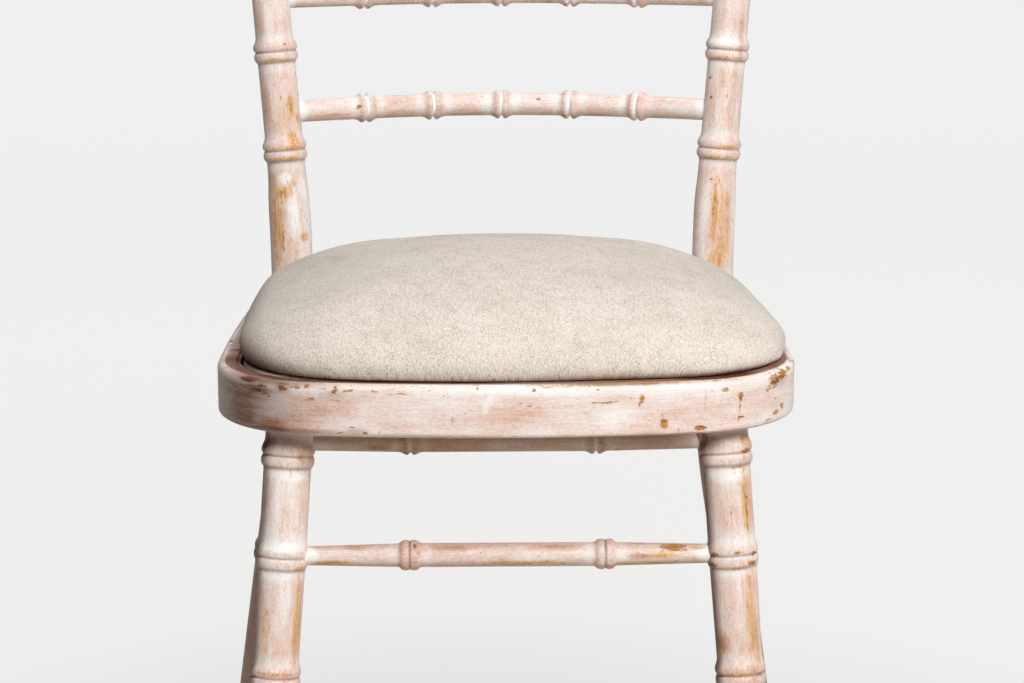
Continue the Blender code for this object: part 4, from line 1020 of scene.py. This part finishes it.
# From the recess that holds the board, round the cover's hem, up the rabbet, over the rim and up
# to the crown, in mm: how far out from the board's edge, and how high above the rim
pad_section = (
    (0.3, -0.4), (0.3, -4.5), (0.3, -9.3), (0.7, -9.7), (1.4, -9.7), (1.8, -9.3), (1.8, -5.5),
    (1.9, -1.6), (3.2, -0.1), (5.4, 0.35), (7.6, 0.55), (9.2, 1.0), (10.3, 2.3), (11.1, 4.4),
    (11.7, 7.2), (11.8, 10.3), (11.2, 13.4), (9.7, 16.5), (7.4, 19.4), (4.4, 22.3), (0.7, 25.2),
    (-4.0, 28.1), (-9.6, 31.0), (-15.8, 33.8), (-22.6, 36.5), (-30.0, 39.2), (-38.0, 41.9),
    (-46.8, 44.4), (-56.4, 46.7), (-66.0, 48.6),
)
board_inset, board_corner = 0.0233, 0.0863
board_turn = 0.04539
middle = Vector((0.0, -0.0035 - seat_forward))
crown_tilt = 0.010
count = 240


def ridge(across):
    """How much higher the well filled middle stands, in metres, by place across the pad."""
    return 0.0036 / (1.0 + (across / 0.066) ** 4)


def turned(x, y, turn):
    """Places or ways on the level, turned by an angle."""
    return numpy.column_stack((
        x * math.cos(turn) - y * math.sin(turn), x * math.sin(turn) + y * math.cos(turn),
    ))


core, outward, run, whole = seat_outline(0.0040, board_inset, board_corner)
spots = numpy.arange(count) * whole / count
core, outward = [numpy.column_stack([
    numpy.interp(spots, run, table[:, axis], period=whole) for axis in (0, 1)
]) for table in (core, outward)]
outward /= numpy.linalg.norm(outward, axis=1)[:, None]
section = [(growth / 1000.0, rise / 1000.0) for growth, rise in pad_section]
mesh = bpy.data.meshes.new("seat_pad_upholstered")
close_shape(straight_strip(section, count, False), mesh)
strip = places(mesh)
growth, rise = strip[:, 1], strip[:, 2]
station = numpy.rint(strip[:, 0]).astype(int) % count
outward = outward[station]
edge = core[station] + outward * (board_corner + growth)[:, None]

# Above the board the cover is slack: it stands out more at the right, and its left is higher
slack = numpy.clip((rise + 0.0005) / 0.006, 0.0, 1.0)
edge += outward * (slack * (0.0012 + 0.0018 * numpy.clip(edge[:, 0] / 0.15, 0.0, 1.0)))[:, None]
across, back = edge.T
height = rise + rim_height - crown_tilt * across * slack
height += ridge(across) * numpy.clip((rise - 0.028) / 0.016, 0.0, 1.0)
spread = turned(across, back, board_turn) + numpy.array(middle)
spread += numpy.outer(slack, (0.0012, -0.0008))

# The cover bellies out towards the rabbet's wall where the pad lies away from it, laps over the
# rim there, and puckers along the right of the front edge
wall, wall_outward, _, _ = seat_outline(0.0020, 0.0, hoop_corner)
wall = wall + wall_outward * (hoop_corner - 0.016) - numpy.array((0.0, seat_forward))
gap = numpy.zeros(count)
for number in numpy.flatnonzero(abs(rise + 0.0016) < 0.0001):
    gap[station[number]] = numpy.linalg.norm(wall - spread[number], axis=1).min()
gap = gap[station]
skirt = numpy.clip(gap - 0.0006, 0.0, 0.0125)
skirt *= numpy.interp(rise, (-0.0093, -0.0055, -0.0016), (0.0, 0.9, 0.9))
lap = numpy.clip(gap - 0.0050, 0.0, 0.0055) * numpy.interp(across, (-0.12, -0.02), (0.2, 1.0))
lap *= numpy.interp(rise, (0.0, 0.008, 0.026), (1.0, 1.0, 0.0))
push = numpy.where(rise < -0.0003, numpy.where(growth > 0.0017, skirt, 0.0), lap)
run = spots[station] * math.tau
puckers = numpy.sin(run / 0.0113) + 0.6 * numpy.sin(run / 0.0171 + 1.0)
puckers *= numpy.interp(rise, (-0.0002, 0.0004, 0.0050, 0.0120), (0.0, 1.0, 0.8, 0.0))
puckers *= numpy.clip((across + 0.01) / 0.05, 0.0, 1.0)
puckers *= numpy.clip((-0.10 - back) / 0.03, 0.0, 1.0)
push += 0.0007 * puckers
spread += push[:, None] * turned(*outward.T, board_turn)
mesh.vertices.foreach_set("co", numpy.column_stack((spread, height)).ravel())
shape = open_shape(mesh)
bmesh.ops.remove_doubles(shape, verts=shape.verts, dist=0.000001)


def walk(edges):
    """The vertices of a closed loop of edges in order, from the one nearest the back's left."""
    follow = {}
    for edge in edges:
        for vert in edge.verts:
            follow.setdefault(vert, []).append(edge.other_vert(vert))
    start = max(follow, key=lambda vert: vert.co.y - vert.co.x)
    loop = [start, follow[start][0]]
    while len(loop) < len(follow):
        one, other = follow[loop[-1]]
        loop.append(other if one is loop[-2] else one)
    return loop


# The crown and the recess's ceiling, each a grid between four corners
open_edges = [edge for edge in shape.edges if edge.is_boundary]
for crown in (True, False):
    loop = walk([edge for edge in open_edges if (edge.verts[0].co.z > 0.49) == crown])
    quarter = len(loop) // 4
    pairs = list(zip(loop, loop[1:] + loop[:1]))
    ends = [shape.edges.get(pair) for pair in pairs[:quarter] + pairs[2 * quarter:3 * quarter]]
    known = set(shape.verts)
    bmesh.ops.grid_fill(shape, edges=ends, use_interp_simple=True)
    angles = numpy.array([math.atan2(vert.co.y - middle.y, vert.co.x - middle.x) for vert in loop])
    reaches = numpy.array([(vert.co.xy - middle).length for vert in loop])
    order = numpy.argsort(angles)
    angles, reaches = angles[order], reaches[order]
    for vert in set(shape.verts) - known:
        vert.co.z = 0.4496
        if crown:
            away = vert.co.xy - middle
            edge_reach = numpy.interp(math.atan2(away.y, away.x), angles, reaches, period=math.tau)
            doming = 0.0092 * (1.0 - (away.length / edge_reach) ** 2)
            vert.co.z = 0.4986 - crown_tilt * vert.co.x + doming + ridge(vert.co.x)
bmesh.ops.recalc_face_normals(shape, faces=shape.faces)
close_shape(shape, mesh)

# Cloth coordinates: how far each point is from the crown over the surface, in its own direction
spread = places(mesh)
straight = turned(*(spread[:, :2] - numpy.array(middle)).T, -board_turn)
reach = numpy.linalg.norm(straight, axis=1)
over = reach + 0.95 * numpy.maximum(0.5053 - spread[:, 2], 0.0)
straight *= (over / numpy.maximum(reach, 1e-6))[:, None]
cloth = numpy.column_stack((straight, numpy.zeros(len(straight))))
note(mesh, "cloth", "FLOAT_VECTOR", "vector", cloth)
pad = place_piece("seat_pad_upholstered", mesh, "seat_pad", linen)

# The foam swells the cover, which is held where it turns down into the rabbet
most_swell = 0.004
held = pad.vertex_groups.new(name="held")
for number, height in enumerate(spread[:, 2]):
    grip = 1.0 - (height - 0.4506) / 0.006
    if grip > 0.0:
        held.add([number], min(grip, 1.0), "REPLACE")
swelling = pad.modifiers.new("cloth", "CLOTH")
swelling.settings.vertex_group_mass = "held"
swelling.settings.use_pressure = True
swelling.settings.uniform_pressure_force = 4.0
swelling.settings.effector_weights.gravity = 0.0
swelling.settings.tension_stiffness = 60.0
swelling.settings.compression_stiffness = 60.0
swelling.settings.shear_stiffness = 30.0
swelling.settings.bending_stiffness = 20.0
for moment in range(1, 21):
    bpy.context.scene.frame_set(moment)
moved = places(pad.evaluated_get(bpy.context.evaluated_depsgraph_get()).data) - spread
far = numpy.linalg.norm(moved, axis=1)
moved *= (numpy.minimum(far, most_swell) / numpy.maximum(far, 1e-9))[:, None]
pad.modifiers.remove(swelling)
pad.vertex_groups.remove(held)
bpy.context.scene.frame_set(1)
mesh.vertices.foreach_set("co", (spread + moved).ravel())
mesh.update()
smooth = pad.modifiers.new("smooth", "SUBSURF")
smooth.levels = 1
smooth.render_levels = 1


# The studio: a pale floor and white surroundings, a soft light above the camera and to its right,
# and weak ones low at the right, overhead and high behind the chair.
pale = new_finish("pale_studio_floor")
matt = add(pale, "BsdfDiffuse", {"Color": colour("#BDB3A7")})
# As the camera sees it, the floor is darker near the chair and lighter far off: painted shade round
# the chair
tone = add(pale, "TexCoord", {}).outputs["Object"]
tone = add(pale, "VectorMath", {"operation": "LENGTH"}, {0: tone}).outputs["Value"]
tone = add(pale, "MapRange", {1: 0.4, 2: 5.0}, {0: tone})
tone = add(pale, "ValToRGB", {"stops": (
    (0.0, "#E4E4E4"), (0.07, "#EFEFEF"), (0.18, "#F0F0F0"), (0.37, "#F2F2F2"), (1.0, "#F5F5F5"),
)}, {0: tone})
glow = add(pale, "Emission", {"Strength": 1.1}, {"Color": tone})
seen = add(pale, "LightPath", {}).outputs
seen = add(pale, "Math", {"operation": "MAXIMUM"}, {
    0: seen["Is Camera Ray"], 1: seen["Is Glossy Ray"],
})
seen = add(pale, "Math", {"operation": "MULTIPLY", 1: 0.86}, {0: seen})
mixed = add(pale, "MixShader", {}, {0: seen, 1: matt, 2: glow})
add(pale, "OutputMaterial", {}, {0: mixed})
shape = bmesh.new()
bmesh.ops.create_circle(shape, cap_ends=True, radius=9.0, segments=96)
mesh = close_shape(shape, bpy.data.meshes.new("studio_floor"))
mesh.materials.append(pale)
studio_floor = bpy.data.objects.new("studio_floor", mesh)
bpy.context.scene.collection.objects.link(studio_floor)

world = bpy.data.worlds.new("studio_surroundings")
world.use_nodes = True
world.node_tree.nodes.clear()
seen = add(world, "LightPath", {}).outputs
seen = add(world, "Math", {"operation": "MAXIMUM"}, {
    0: seen["Is Camera Ray"], 1: seen["Is Transmission Ray"],
})
fill = add(world, "Background", {"Color": colour("#FFE6C8"), "Strength": 0.02})
white = add(world, "Background", {"Color": colour("#EFEFEF"), "Strength": 1.0})
mixed = add(world, "MixShader", {}, {0: seen, 1: fill, 2: white})
add(world, "OutputWorld", {}, {0: mixed})
bpy.context.scene.world = world


light_distance = 2.6


def soft_light(name, azimuth, elevation, size, power):
    """A square soft light that faces the seat. Azimuth 0 is at the camera, and 90 at its right."""
    lamp = bpy.data.lights.new(name, "AREA")
    lamp.shape = "SQUARE"
    lamp.size = size
    lamp.energy = power
    light = bpy.data.objects.new(name, lamp)
    way = Vector((
        math.sin(math.radians(azimuth)) * math.cos(math.radians(elevation)),
        -math.cos(math.radians(azimuth)) * math.cos(math.radians(elevation)),
        math.sin(math.radians(elevation)),
    ))
    place = Matrix.Translation(Vector((0, 0, rim_height)) + way * light_distance)
    light.matrix_world = place @ way.to_track_quat("Z", "Y").to_matrix().to_4x4()
    bpy.context.scene.collection.objects.link(light)


soft_light("key_light", 19.0, 38.0, 1.2, 69.0)
soft_light("side_light", 115.0, 15.0, 1.1, 14.0)
soft_light("top_light", -50.0, 66.0, 1.1, 14.0)
soft_light("back_light", 184.0, 50.0, 1.1, 15.0)

bpy.context.scene.view_settings.view_transform = "Standard"
